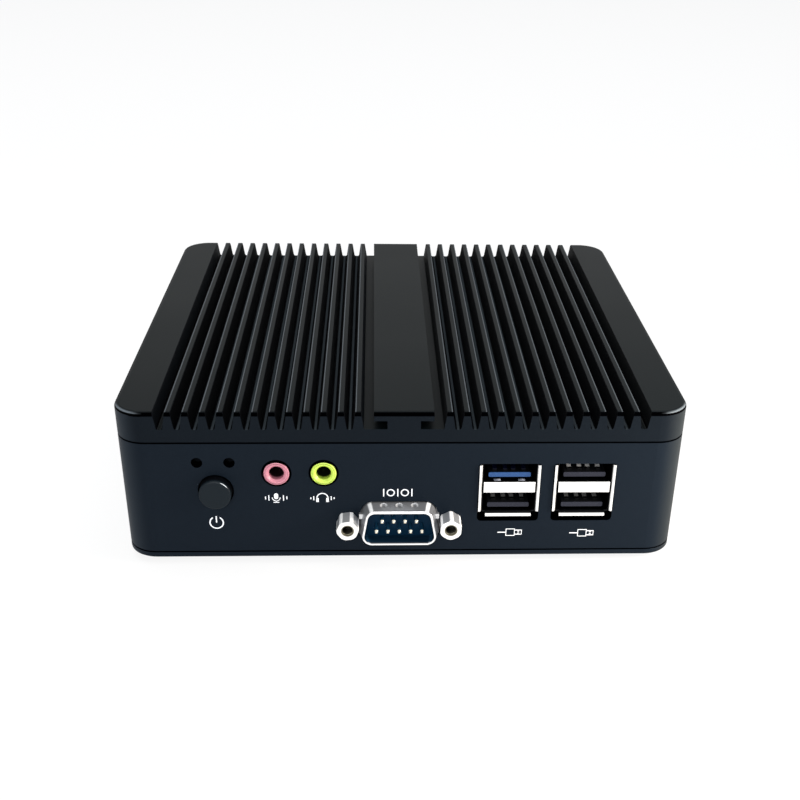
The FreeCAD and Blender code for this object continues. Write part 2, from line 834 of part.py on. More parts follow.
def make_storage():
    near = board_under - card_drop
    far = near - card_thickness
    x0 = card_x - card_length / 2
    x1 = card_x + card_length / 2
    y0 = card_y - card_width / 2
    y1 = card_y + card_width / 2
    card = box(x0, x1, y0, y1, far, near)
    chips = []
    for start, length, margin in card_chips:
        chips.append(box(x0 + start, x0 + start + length, y0 + margin, y1 - margin,
                         far - card_chip_height, far))
    card = card.fuse(chips).removeSplitter()
    card = card.cut(rod_z(screw_radius, x0, card_y, far - cut_over, near + cut_over))
    socket = box(x1 - card_bite, x1 + card_bite + socket_back, y0 - card_socket_side,
                 y1 + card_socket_side, far - socket_lip, board_under)
    slot = box(x0, x1 + seat_gap, y0 - seat_gap, y1 + seat_gap, far - seat_gap, near + seat_gap)
    socket = socket.cut(slot)
    standoff = rod_z(card_screw_head, x0, card_y, near + seat_gap, board_under)
    bore = rod_z(card_screw_radius + thread_gap, x0, card_y, near - cut_over, board_under)
    head = rod_z(card_screw_head, x0, card_y, far - card_screw_height, far - seat_gap)
    shank = rod_z(card_screw_radius, x0, card_y, far - fuse_bite, board_under - card_screw_gap)
    return card, socket, standoff.cut(bore), head.fuse(shank)


def make_clock_cell():
    cell_top = board_under - cell_drop
    cell_low = cell_top - cell_height
    cell = rod_z(cell_radius, cell_x, cell_y, cell_low, cell_top)
    cell = cell.makeChamfer(cell_chamfer, edges_at_height(cell, cell_low))
    half = cell_radius + holder_rim
    holder = box(cell_x - half, cell_x + half, cell_y - holder_length / 2, cell_y + holder_length / 2,
                 cell_top - holder_height, board_under)
    recess = rod_z(cell_radius + seat_gap, cell_x, cell_y, cell_top - cut_over, cell_top + seat_gap)
    return cell, holder.cut(recess)


def make_power_parts():
    chokes = []
    half = choke_width / 2
    for step in range(choke_count):
        x = choke_x + choke_pitch * step
        choke = box(x - half, x + half, choke_y - half, choke_y + half,
                    board_top, board_top + choke_height)
        chokes.append(choke.makeChamfer(choke_chamfer, edges_along(choke, vec(0, 0, 1))))
    capacitors = []
    for step in range(capacitor_count):
        y = capacitor_y + capacitor_pitch * step
        capacitors.append(rod_z(capacitor_radius, capacitor_x, y,
                                board_under - capacitor_height, board_under))
    return chokes, capacitors


# ================================================================ indicators and button
def make_lamps():
    # two side-looking lamps behind their holes
    lamps = []
    z = case_bottom + lamp_height
    for x in lamp_x:
        half = lamp_base / 2
        base_front = wall + board_gap + lamp_reach
        base = box(x - half, x + half, base_front, base_front + lamp_base, z - half, board_under)
        lens = rod_y(lamp_radius, x, z, wall + board_gap, base_front + fuse_bite)
        lamps.append(on_front(base.fuse(lens).removeSplitter()))
    return lamps


def make_button():
    z = case_bottom + button_height
    flange_front = wall + running_gap
    flange_end = flange_front + button_flange
    stem_end = flange_end + stem_length
    cap = rod_y(button_radius, button_x, z, -button_proud, flange_front + fuse_bite)
    front_edges = [e for e in cap.Edges if abs(e.BoundBox.YMax + button_proud) < 0.001]
    cap = cap.makeFillet(button_edge_round, front_edges)
    flange = rod_y(button_hole_radius + button_flange_rim, button_x, z, flange_front, flange_end)
    stem = rod_y(stem_radius, button_x, z, flange_end - fuse_bite, stem_end)
    cap = cap.fuse([flange, stem]).removeSplitter()
    spring_start = flange_end + seat_gap
    housing_front = spring_start + spring_length
    plunger_end = housing_front + plunger_bite
    plunger = rod_y(plunger_radius, button_x, z, stem_end, plunger_end)
    half = switch_width / 2
    housing = box(button_x - half, button_x + half, housing_front, housing_front + switch_depth,
                  z - half, board_under)
    housing = housing.cut(rod_y(plunger_radius + running_gap, button_x, z, housing_front - cut_over,
                                plunger_end + button_travel + running_gap))
    free = spring_length - spring_wire - 2 * seat_gap
    helix = Part.makeHelix(free / spring_coils, free, spring_radius)
    section = []
    for step in range(spring_wire_sides):
        turn = 2 * math.pi * step / spring_wire_sides
        section.append(vec(spring_radius + spring_wire / 2 * math.cos(turn), 0,
                           spring_wire / 2 * math.sin(turn)))
    wire_section = Part.makePolygon(section + [section[0]])
    spring = Part.Wire(helix).makePipeShell([wire_section], True, True)
    spring.rotate(vec(0, 0, 0), vec(1, 0, 0), -90)
    spring.translate(vec(button_x, spring_start + spring_wire / 2, z))
    return on_front(cap), on_front(plunger), on_front(housing), on_front(spring)


# ================================================================ audio jacks
def make_jack(x):
    z = case_bottom + jack_height
    front = wall + panel_gap
    half = jack_body_width / 2
    body = box(x - half, x + half, front, front + jack_body_length, z - half, board_under)
    nose = rod_y(jack_nose_radius, x, z, -jack_proud, front + fuse_bite)
    rim = [e for e in nose.Edges if abs(e.BoundBox.YMax + jack_proud) < 0.001]
    nose = nose.makeFillet(jack_edge_round, rim)
    jack = body.fuse(nose).removeSplitter()
    mouth = Part.makeCone(jack_bore_radius + jack_mouth, jack_bore_radius, jack_mouth,
                          vec(x, -jack_proud, z), vec(0, 1, 0))
    bore = rod_y(jack_bore_radius, x, z, -jack_proud - cut_over, jack_bore_length - jack_proud)
    ring_end = jack_ring_depth - jack_proud
    ring = rod_y(jack_ring_radius, x, z, -jack_proud - cut_over, ring_end)
    ring = ring.cut(rod_y(jack_ring_radius - jack_ring_width, x, z, -jack_proud - cut_over, ring_end))
    cuts = [bore, mouth, ring]
    springs = []
    slot_start = front + jack_slot_start
    slot_end = slot_start + jack_slot_length
    middle = (slot_start + slot_end) / 2
    near = jack_bore_radius + jack_bore_wall
    for side in (-1, 1):
        x0, x1 = sorted((x + side * near, x + side * (half + cut_over)))
        cuts.append(box(x0, x1, slot_start, slot_end, z - jack_slot_height / 2, z + jack_slot_height / 2))
        outer = half - jack_leaf_edge
        bow = near + jack_leaf_lift
        ends = (slot_start + jack_leaf_gap, slot_end - jack_leaf_gap)
        outline = [(outer - jack_leaf_thickness, ends[0]), (outer, ends[0]),
                   (bow + jack_leaf_thickness, middle), (outer, ends[1]),
                   (outer - jack_leaf_thickness, ends[1]), (bow, middle)]
        outline = [(x + side * away, y) for away, y in outline]
        leaf = section_z(outline, z - jack_leaf_height / 2, z + jack_leaf_height / 2)
        springs.append(on_front(leaf))
    return on_front(jack.cut(cuts)), springs


# ================================================================ serial ports
def hex_prism(x, z, flats, y0, y1, start=0.0):
    reach = flats / math.sqrt(3)
    outline = []
    for step in range(6):
        turn = math.radians(start + 60 * step)
        outline.append((x + reach * math.cos(turn), z + reach * math.sin(turn)))
    return section_y(outline, y0, y1)


def serial_shell():
    z = case_bottom + serial_height
    front = -serial_shell_proud
    root_width = serial_shell_width + serial_root_grow[0]
    root_height = serial_shell_height + serial_root_grow[1]
    shell = flared_shell(0, front, flange_back)
    shell = shell.makeFillet(serial_rim_round, [e for e in shell.Edges if e.BoundBox.YMax < front + 0.001])
    flange = box(-serial_flange_width / 2, serial_flange_width / 2, wall, flange_back,
                 z - serial_flange_height / 2, z + serial_flange_height / 2)
    flange = flange.makeFillet(serial_flange_radius, edges_along(flange, vec(0, 1, 0)))
    tabs = []
    tab_low = tab_rise - tab_width / 2
    screw_side = jackscrew_spacing / 2 - math.sqrt(jackscrew_round ** 2 - tab_low ** 2)
    tab_out = screw_side - serial_cut_gap
    lean = (root_height / 2 + tab_rise + tab_width / 2) * math.tan(math.radians(serial_slant))
    for side in (-1, 1):
        x0, x1 = sorted((side * (root_width / 2 - lean - serial_sheet / 2), side * tab_out))
        tabs.append(box(x0, x1, -tab_proud, -tab_lift, z + tab_low, z + tab_low + tab_width))
    shell = shell.fuse([flange] + tabs).removeSplitter()
    mouth = d_profile(serial_shell_width - 2 * serial_sheet, serial_shell_height - 2 * serial_sheet,
                      serial_shell_radius - serial_sheet, front - cut_over, front)
    cuts = [flared_shell(serial_sheet, front, flange_back + cut_over).fuse(mouth)]
    for side in (-1, 1):
        cuts.append(rod_y(shank_radius + screw_clearance, side * jackscrew_spacing / 2, z,
                          wall - cut_over, flange_back + cut_over))
    shell = shell.cut(cuts)
    ball_radius = (dimple_radius ** 2 + dimple_depth ** 2) / (2 * dimple_depth)
    rise = serial_root_grow[1] / 2 * dimple_setback / serial_shell_proud
    top = z + serial_shell_height / 2 + rise
    dimples = [Part.makeSphere(ball_radius, vec(column * dimple_pitch, front + dimple_setback,
                                                top - dimple_depth + ball_radius))
               for column in (-1, 0, 1)]
    return shell.cut(dimples)


def serial_insert():
    # insulator with its pins; five in the lower row, four in the upper
    z = case_bottom + serial_height
    front = insert_recess - serial_shell_proud
    shrink = serial_sheet + seat_gap
    width = serial_shell_width + serial_root_grow[0] - 2 * shrink
    height = serial_shell_height + serial_root_grow[1] - 2 * shrink
    insert = d_profile(width, height, serial_root_radius - shrink, front,
                       flange_back + seat_gap + fuse_bite)
    block = box(-serial_block_width / 2, serial_block_width / 2, flange_back + seat_gap,
                flange_back + serial_insert_depth, z - serial_block_height / 2, z + serial_block_height / 2)
    insert = insert.fuse(block).removeSplitter()
    pins = []
    wells = []
    tip = pin_recess - serial_shell_proud
    for count, rise in ((5, -pin_row_gap / 2), (4, pin_row_gap / 2)):
        for step in range(count):
            x = (step - (count - 1) / 2) * pin_pitch
            pin = rod_y(pin_radius, x, z + rise, tip, flange_back + pin_tail)
            tip_edges = [e for e in pin.Edges if e.BoundBox.YMax < tip + 0.001]
            pins.append(pin.makeChamfer(pin_radius / 2, tip_edges))
            wells.append(rod_y(pin_radius + thread_gap, x, z + rise, front - cut_over,
                               flange_back + pin_tail + seat_gap))
    return insert.cut(wells), pins


def jackscrew_and_nut(x, stop):
    z = case_bottom + serial_height
    front = -jackscrew_proud
    hexagon = hex_prism(x, z, jackscrew_flats, front, -seat_gap, stop)
    crown = Part.makeCone(jackscrew_face_radius, jackscrew_round, jackscrew_crown,
                          vec(x, front, z), vec(0, 1, 0))
    barrel = rod_y(jackscrew_round, x, z, front + jackscrew_crown, 0)
    hexagon = hexagon.common(crown.fuse(barrel))
    shank = rod_y(shank_radius, x, z, -seat_gap - fuse_bite, shank_length)
    screw = hexagon.fuse(shank).removeSplitter()
    screw = screw.cut(rod_y(jackscrew_hole, x, z, front - cut_over, front + jackscrew_hole_depth))
    nut_front = flange_back + seat_gap
    nut = hex_prism(x, z, lock_nut_flats, nut_front, nut_front + lock_nut_height)
    return screw, nut.cut(rod_y(shank_radius + thread_gap, x, z, 0, nut_front + cut_over))


def make_serial_port(place, x_place):
    insert, pins = serial_insert()
    jackscrews = []
    nuts = []
    for side, stop in zip((-1, 1), jackscrew_stops):
        screw, nut = jackscrew_and_nut(side * jackscrew_spacing / 2, stop)
        jackscrews.append(screw)
        nuts.append(nut)
    cable, header = make_ribbon(case_bottom + serial_height, flange_back + serial_insert_depth)
    groups = (("shell", [serial_shell()]), ("insert", [insert]), ("pins", pins),
              ("jackscrews", jackscrews), ("cable", cable), ("header", [header]))
    placed = {name: [place(solid, x_place) for solid in solids] for name, solids in groups}
    return placed, [place(nut, x_place) for nut in nuts]


def make_ribbon(z, start):
    # ribbon cable: up behind the port, one bend, then back into the plug under the board header
    y0 = start + seat_gap
    y1 = y0 + ribbon_thickness
    plug_top = board_under - header_height - seat_gap
    plug_low = plug_top - plug_height
    run_top = plug_low - seat_gap
    run_low = run_top - ribbon_thickness
    end = y1 + ribbon_bend + header_depth
    inner = ribbon_bend
    outer = ribbon_bend + ribbon_thickness
    centre = (y1 + inner, run_low - inner)
    half = math.sqrt(0.5)
    x = -ribbon_width / 2
    inner_arc = Part.Arc(vec(x, y1, centre[1]),
                         vec(x, centre[0] - inner * half, centre[1] + inner * half),
                         vec(x, centre[0], run_low)).toShape()
    outer_arc = Part.Arc(vec(x, centre[0], run_top),
                         vec(x, centre[0] - outer * half, centre[1] + outer * half),
                         vec(x, y0, centre[1])).toShape()
    edges = [Part.makeLine(vec(x, y0, z), vec(x, y1, z)),
             Part.makeLine(vec(x, y1, z), vec(x, y1, centre[1])),
             inner_arc,
             Part.makeLine(vec(x, centre[0], run_low), vec(x, end, run_low)),
             Part.makeLine(vec(x, end, run_low), vec(x, end, run_top)),
             Part.makeLine(vec(x, end, run_top), vec(x, centre[0], run_top)),
             outer_arc,
             Part.makeLine(vec(x, y0, centre[1]), vec(x, y0, z))]
    ribbon = Part.Face(Part.Wire(edges)).extrude(vec(ribbon_width, 0, 0))
    across = header_width / 2
    header_front = centre[0]
    header_end = header_front + header_depth
    plug = box(-across + plug_inset, across - plug_inset, header_front + plug_inset,
               header_end - plug_inset, plug_low, plug_top)
    header = box(-across, across, header_front, header_end, board_under - header_height, board_under)
    return [ribbon, plug], header


# ================================================================ data ports
def stack_levels():
    # from the board down: upper opening, middle shield, lower opening
    upper_top = board_under - stack_base - stack_sheet
    upper_low = upper_top - port_opening
    lower_top = upper_low - middle_shield
    lower_low = lower_top - port_opening
    return upper_top, upper_low, lower_top, lower_low


def make_port_shell():
    upper_top, upper_low, lower_top, lower_low = stack_levels()
    half = stack_width / 2
    front = lip_length - stack_proud
    z0 = lower_low - stack_sheet
    z1 = upper_top + stack_sheet
    shell = box(-half, half, front, front + stack_length, z0, z1)
    shell = shell.makeFillet(stack_corner, edges_along(shell, vec(0, 1, 0)))
    inner = box(stack_sheet - half, half - stack_sheet, front - cut_over,
                front + stack_length - stack_sheet, lower_low, upper_top)
    lip_top = case_bottom + stack_cut_top - panel_gap
    roof_gap = box(-half - cut_over, half + cut_over, front - cut_over, wall + panel_gap,
                   lip_top, z1 + cut_over)
    shell = shell.cut([inner, roof_gap])
    lips = []
    for side in (-1, 1):
        outline = [(half - stack_sheet, front + fuse_bite),
                   (half - stack_sheet, front),
                   (half - stack_sheet + lip_bend_out, front - lip_bend),
                   (half - stack_sheet + lip_flare, -stack_proud),
                   (half + lip_flare, -stack_proud),
                   (half + lip_flare, stack_sheet - stack_proud),
                   (half + lip_heel, front - fuse_bite),
                   (half, front + fuse_bite)]
        outline = [(side * away, y) for away, y in outline]
        lips.append(section_z(outline, lower_low + side_lip_bottom, lip_top))
    outline = [(front + fuse_bite, lower_low),
               (front, lower_low),
               (front - lip_bend, lower_low - lip_bend_out),
               (-stack_proud, z0 - lip_flare + stack_sheet),
               (-stack_proud, z0 - lip_flare),
               (stack_sheet - stack_proud, z0 - lip_flare),
               (front - fuse_bite, z0 - lip_heel),
               (front + fuse_bite, z0)]
    lips.append(section_x(outline, -bottom_lip_width / 2, bottom_lip_width / 2))
    return shell.fuse(lips).removeSplitter()


def make_middle_shield():
    upper_top, upper_low, lower_top, lower_low = stack_levels()
    half = stack_width / 2 - stack_sheet - seat_gap
    shield = box(-half, half, shield_setback - stack_proud, stack_length - rear_block,
                 lower_top, upper_low)
    front_edges = [e for e in edges_along(shield, vec(1, 0, 0)) if e.BoundBox.YMax < 0]
    return shield.makeFillet(shield_edge_round, front_edges)


def make_insert(top, low):
    # tongue and the block behind it; the block fills the back of its opening
    half = stack_width / 2 - stack_sheet - seat_gap
    back = lip_length - stack_proud + stack_length - stack_sheet - seat_gap
    block_front = back - rear_block
    block = box(-half, half, block_front, back, low + seat_gap, top - seat_gap)
    tongue_front = tongue_setback - stack_proud
    tongue_low = low + tongue_offset
    tongue_top = tongue_low + tongue_thickness
    tongue = box(-tongue_width / 2, tongue_width / 2, tongue_front, block_front + fuse_bite,
                 tongue_low, tongue_top)
    tongue = tongue.makeChamfer(tongue_chamfer, edges_along(tongue, vec(0, 1, 0)))
    insert = block.fuse(tongue).removeSplitter()
    contacts = []
    y0 = tongue_front + contact_setback
    rise, bump, bump_end, flat = contact_bump
    strip_top = tongue_top + contact_thickness
    outline = [(y0, tongue_top),
               (block_front, tongue_top),
               (block_front, strip_top),
               (y0 + flat, strip_top),
               (y0 + bump_end, tongue_top + contact_rise),
               (y0 + bump, tongue_top + contact_rise),
               (y0 + rise, strip_top),
               (y0, strip_top)]
    for offset in contact_offsets:
        contacts.append(section_x(outline, offset - contact_width / 2, offset + contact_width / 2))
    return insert, contacts


# ================================================================ rear connectors
def make_inlet():
    z = board_under - inlet_height / 2
    low = z - inlet_height / 2
    half = inlet_width / 2
    body = box(-half, half, rear_setback, inlet_length, low, board_under)
    lower_edges = [e for e in edges_along(body, vec(0, 1, 0)) if e.BoundBox.ZMax < z]
    body = body.makeFillet(inlet_edge_round, lower_edges)
    pin_end = inlet_length - inlet_back
    leaf_slot = box(-leaf_slot_width / 2, leaf_slot_width / 2, leaf_slot_start,
                    leaf_slot_start + leaf_slot_length, low - cut_over,
                    z - inlet_bore_radius + leaf_slot_bite)
    body = body.cut([rod_y(inlet_bore_radius, 0, z, -cut_over, rear_setback + inlet_bore_depth),
                     rod_y(inlet_pin_radius + thread_gap, 0, z, 0, pin_end), leaf_slot])
    pin = rod_y(inlet_pin_radius, 0, z, inlet_pin_setback, pin_end - seat_gap)
    tip = [e for e in pin.Edges if e.BoundBox.YMax < inlet_pin_setback + 0.001]
    pin = pin.makeFillet(inlet_pin_round, tip)
    leaf_front = leaf_slot_start + leaf_gap
    leaf_end = leaf_slot_start + leaf_slot_length - leaf_gap
    foot = low + leaf_lift
    outline = [(leaf_front, foot + leaf_thickness), (leaf_front, foot), (leaf_end, foot),
               (leaf_end, foot + leaf_thickness), ((leaf_front + leaf_end) / 2, foot + leaf_rise)]
    leaf_half = leaf_slot_width / 2 - leaf_side_gap
    leaf = section_x(outline, -leaf_half, leaf_half)
    return on_rear(body, inlet_x), on_rear(pin, inlet_x), on_rear(leaf, inlet_x)


def video_outline(shrink):
    half = video_width / 2 - shrink
    top = board_under - shrink
    low = board_under - video_height + shrink
    cut = video_chamfer
    return [(-half, top), (half, top), (half, low + cut),
            (half - cut, low), (-half + cut, low), (-half, low + cut)]


def make_video_port():
    shell = section_y(video_outline(0.0), rear_setback, video_length)
    inner = section_y(video_outline(video_sheet), -cut_over, video_length - video_sheet)
    shell = shell.cut(inner)
    middle = board_under - video_height / 2 + video_tongue_rise
    block_end = video_length - video_sheet - seat_gap
    block_front = block_end - video_block
    block = section_y(video_outline(video_sheet + seat_gap), block_front, block_end)
    half = video_width / 2 - video_tongue_inset
    tongue = box(-half, half, video_tongue_setback, block_front + fuse_bite,
                 middle - video_tongue_thickness / 2, middle + video_tongue_thickness / 2)
    insert = block.fuse(tongue).removeSplitter()
    return on_rear(shell, video_x), on_rear(insert, video_x)


def make_network_port(x_place):
    half = network_width / 2
    low = board_under - network_height
    top = board_under - seat_gap
    shell = box(-half, half, rear_setback, network_length, low, top)
    shell = shell.makeFillet(network_corner, edges_along(shell, vec(0, 1, 0)))
    inner = network_sheet
    shell = shell.cut(box(inner - half, half - inner, -cut_over, network_length - inner,
                          low + inner, top - inner))
    gap = network_sheet + seat_gap
    insert = box(gap - half, half - gap, network_setback, network_length - gap, low + gap, top - gap)
    mouth_low = low + network_sill
    mouth_top = mouth_low + network_mouth_height
    mouth_end = network_setback + network_mouth_depth
    mouth = box(-network_mouth_width / 2, network_mouth_width / 2, -cut_over, mouth_end,
                mouth_low, mouth_top)
    latch = box(-latch_width / 2, latch_width / 2, -cut_over, mouth_end,
                mouth_top - fuse_bite, mouth_top + latch_height)
    insert = insert.cut([mouth, latch])
    wire = network_contact_wire
    outline = [(network_contact_start, mouth_low),
               (network_contact_start + wire, mouth_low),
               (network_contact_top, mouth_low + network_contact_rise - wire),
               (network_contact_end, mouth_low + wire),
               (network_contact_end, mouth_low + 2 * wire),
               (network_contact_top, mouth_low + network_contact_rise)]
    contacts = []
    for step in range(network_contact_count):
        x = (step - (network_contact_count - 1) / 2) * network_contact_pitch
        contact = section_x(outline, x - network_contact_width / 2, x + network_contact_width / 2)
        contacts.append(on_rear(contact, x_place))
    return on_rear(shell, x_place), on_rear(insert, x_place), contacts


# ================================================================ write every piece
def main():
    save("lid_heatsink", [make_lid()])
    save("body_frame", [make_body()])
    save("bottom_cover", [make_cover()])
    save("rubber_feet", make_feet())
    save("cover_screws", make_cover_screws())
    save("lid_screws", make_lid_screws())
    save("mounting_nuts", make_mount_nuts())
    save("main_board", [make_board()])
    save("board_screws", make_board_screws())
    save("processor", [make_processor()])
    pad, block, block_screws = make_heat_path()
    save("thermal_pad", [pad])
    save("heat_block", [block])
    save("heat_block_screws", block_screws)
    module, socket = make_memory()
    save("memory_module", [module])
    save("memory_socket", [socket])
    card, card_socket, standoff, card_screw = make_storage()
    save("storage_card", [card])
    save("storage_socket", [card_socket])
    save("storage_standoff", [standoff])
    save("storage_screw", [card_screw])
    cell, holder = make_clock_cell()
    save("clock_cell", [cell])
    save("clock_cell_holder", [holder])
    chokes, capacitors = make_power_parts()
    save("power_chokes", chokes)
    save("capacitors", capacitors)
    save("indicator_lamps", make_lamps())
    cap, plunger, housing, spring = make_button()
    save("button_cap", [cap])
    save("switch_plunger", [plunger])
    save("switch_housing", [housing])
    save("button_spring", [spring])
    jack_springs = []
    for name, x in zip(("microphone_jack", "speaker_jack"), jack_x):
        jack, springs = make_jack(x)
        save(name, [jack])
        jack_springs += springs
    save("jack_springs", jack_springs)
    lock_nuts = []
    for side, place, x in (("front", on_front, serial_x), ("rear", on_rear, rear_serial_x)):
        port, nuts = make_serial_port(place, x)
        lock_nuts += nuts
        for part_name, solids in port.items():
            save(side + "_serial_" + part_name, solids)
    save("serial_lock_nuts", lock_nuts)
    upper_top, upper_low, lower_top, lower_low = stack_levels()
    shields = []
    dark_inserts = []
    contacts = []
    for name, x in zip(("left_port_shell", "right_port_shell"), stack_x):
        save(name, [on_front(make_port_shell(), x)])
        shields.append(on_front(make_middle_shield(), x))
        for level, (top, low) in enumerate(((upper_top, upper_low), (lower_top, lower_low))):
            insert, strips = make_insert(top, low)
            insert = on_front(insert, x)
            contacts += [on_front(strip, x) for strip in strips]
            if level == 0 and x == stack_x[0]:
                save("blue_port_insert", [insert])
            else:
                dark_inserts.append(insert)
    save("port_middle_shields", shields)
    save("dark_port_inserts", dark_inserts)
    save("port_contacts", contacts)
    inlet, inlet_pin, inlet_leaf = make_inlet()
    save("power_inlet", [inlet])
    save("power_inlet_pin", [inlet_pin])
    save("power_inlet_leaf", [inlet_leaf])
    video_shell, video_insert = make_video_port()
    save("video_port_shell", [video_shell])
    save("video_port_insert", [video_insert])
    shells = []
    inserts = []
    wires = []
    for x in network_x:
        shell, insert, strips = make_network_port(x)
        shells.append(shell)
        inserts.append(insert)
        wires += strips
    save("network_port_shells", shells)
    save("network_port_inserts", inserts)
    save("network_contacts", wires)


main()
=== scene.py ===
import json
import math

import bmesh
import bpy
from mathutils import Matrix, Vector


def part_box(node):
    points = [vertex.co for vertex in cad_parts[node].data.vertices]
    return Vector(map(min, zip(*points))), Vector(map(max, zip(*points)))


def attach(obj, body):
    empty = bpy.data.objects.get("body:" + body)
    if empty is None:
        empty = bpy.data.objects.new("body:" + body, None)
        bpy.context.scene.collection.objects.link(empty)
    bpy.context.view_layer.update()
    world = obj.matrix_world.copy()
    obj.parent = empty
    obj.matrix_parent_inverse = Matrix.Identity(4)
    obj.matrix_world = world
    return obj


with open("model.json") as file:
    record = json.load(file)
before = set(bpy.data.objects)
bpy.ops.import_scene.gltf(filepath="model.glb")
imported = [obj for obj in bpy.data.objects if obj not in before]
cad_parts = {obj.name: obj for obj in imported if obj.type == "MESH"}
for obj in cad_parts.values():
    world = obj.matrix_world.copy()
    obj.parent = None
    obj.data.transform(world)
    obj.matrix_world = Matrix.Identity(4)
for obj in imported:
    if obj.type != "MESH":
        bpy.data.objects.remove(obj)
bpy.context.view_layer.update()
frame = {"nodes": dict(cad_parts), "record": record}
nodes = frame["nodes"]
print("frame loaded:", len(nodes), "nodes")

mm = 0.001


def srgb(red, green, blue):
    # a colour as it is read on a screen, 0 to 255, turned into the linear values that nodes take
    channels = []
    for level in (red, green, blue):
        share = level / 255
        channels.append(share / 12.92 if share <= 0.04045 else ((share + 0.055) / 1.055) ** 2.4)
    return (channels[0], channels[1], channels[2], 1.0)


# painted shade: the near-black laid where a part lies in shade
paintedShade = srgb(4, 5, 8)


def addObject(name, data):
    piece = bpy.data.objects.new(name, data)
    bpy.context.scene.collection.objects.link(piece)
    return piece


def findMount(name):
    for mount in frame["record"]["mounts"]:
        if mount["name"] == name:
            return mount
    raise KeyError(name)


def pairOfScrews(name):
    # the middle of a jackscrew pair, its half spacing and its height, in metres
    mount = findMount(name)
    x, y, z = mount["pos_m"]
    return x, mount["dims"]["spacing_x_mm"] * mm / 2, z


# ---- steps that the node trees share

def addNode(tree, kind, **settings):
    node = tree.nodes.new(kind)
    for key, value in settings.items():
        setattr(node, key, value)
    return node


def feed(tree, socket, part):
    # the part is another node's socket or a plain value; None leaves the socket alone
    if isinstance(part, bpy.types.NodeSocket):
        tree.links.new(part, socket)
    elif part is not None:
        socket.default_value = part


def feedAll(tree, node, parts):
    for label, part in parts.items():
        feed(tree, node.inputs[label], part)


def mixColour(tree, factor, first, second):
    # the first colour where the factor is 0, the second where it is 1
    mix = addNode(tree, "ShaderNodeMix", data_type="RGBA", blend_type="MIX")
    for index, part in ((0, factor), (6, first), (7, second)):  # the sockets of a colour mix
        feed(tree, mix.inputs[index], part)
    return mix.outputs[2]


def spread(tree, value, low, high):
    # maps a 0 to 1 value onto low to high
    remap = addNode(tree, "ShaderNodeMapRange", clamp=True)
    feedAll(tree, remap, {"Value": value, "To Min": low, "To Max": high})
    return remap.outputs["Result"]


def ramp(tree, value, begin, stop):
    # 0 up to begin and 1 from stop on, smooth between; begin may be the larger of the two
    step = addNode(tree, "ShaderNodeMapRange", clamp=True, interpolation_type="SMOOTHSTEP")
    feedAll(tree, step, {"Value": value, "From Min": begin, "From Max": stop})
    return step.outputs["Result"]


def rampOver(tree, value, limits):
    # the same, between two lengths in millimetres
    return ramp(tree, value, limits[0] * mm, limits[1] * mm)


def compute(tree, operation, first, second=None):
    # one step of arithmetic
    step = addNode(tree, "ShaderNodeMath", operation=operation)
    feed(tree, step.inputs[0], first)
    feed(tree, step.inputs[1], second)
    return step.outputs[0]


def times(tree, first, second):
    return compute(tree, "MULTIPLY", first, second)


def minus(tree, first, second):
    return compute(tree, "SUBTRACT", first, second)


def larger(tree, first, second):
    return compute(tree, "MAXIMUM", first, second)


def unsigned(tree, value):
    return compute(tree, "ABSOLUTE", value)


def isBelow(tree, value, limit):
    return compute(tree, "LESS_THAN", value, limit)


def isAbove(tree, value, limit):
    return compute(tree, "GREATER_THAN", value, limit)


def splitAxes(tree, label):
    place = addNode(tree, "ShaderNodeTexCoord")
    split = addNode(tree, "ShaderNodeSeparateXYZ")
    tree.links.new(place.outputs[label], split.inputs[0])
    return split.outputs


def spotOf(tree):
    # X, Y and Z of the place on the surface
    return splitAxes(tree, "Object")


def facingOf(tree):
    # X, Y and Z of the way the surface faces
    return splitAxes(tree, "Normal")


# ---- shader node groups: effects that several finishes share

socketKinds = {1: "NodeSocketFloat", 3: "NodeSocketVector", 4: "NodeSocketColor"}


def startGroup(name, inputs, outputs):
    # an input's kind follows from its default value; of the outputs only Colour is a colour
    group = bpy.data.node_groups.new(name, "ShaderNodeTree")
    for label, value in inputs.items():
        kind = socketKinds[len(value) if isinstance(value, tuple) else 1]
        socket = group.interface.new_socket(label, in_out="INPUT", socket_type=kind)
        socket.default_value = value
    for label in outputs:
        kind = socketKinds[4 if label == "Colour" else 1]
        group.interface.new_socket(label, in_out="OUTPUT", socket_type=kind)
    start = group.nodes.new("NodeGroupInput").outputs
    return group, start, group.nodes.new("NodeGroupOutput")


def buildSkinGroup():
    # fine grain over broad, faint patches: anodising, paint and moulded plastic
    group, start, end = startGroup(
        "fineSkin",
        {"Colour": (0.5, 0.5, 0.5, 1), "Shade": (0.4, 0.4, 0.4, 1), "Grain Scale": 3000, "Patch Scale": 30,
         "Rough Low": 0.4, "Rough High": 0.5},
        ("Colour", "Roughness", "Height"))
    place = addNode(group, "ShaderNodeTexCoord").outputs["Object"]
    noises = []
    for label, detail in (("Grain Scale", 3), ("Patch Scale", 2)):
        noise = addNode(group, "ShaderNodeTexNoise")
        feedAll(group, noise, {"Vector": place, "Scale": start[label], "Detail": detail})
        noises.append(noise.outputs["Fac"])
    grain, patch = noises
    speckle = mixColour(group, grain, start["Colour"], start["Shade"])
    feedAll(group, end, {
        "Colour": mixColour(group, spread(group, patch, 0.0, 0.35), speckle, start["Shade"]),
        "Roughness": spread(group, patch, start["Rough Low"], start["Rough High"]),
        "Height": grain})
    return group


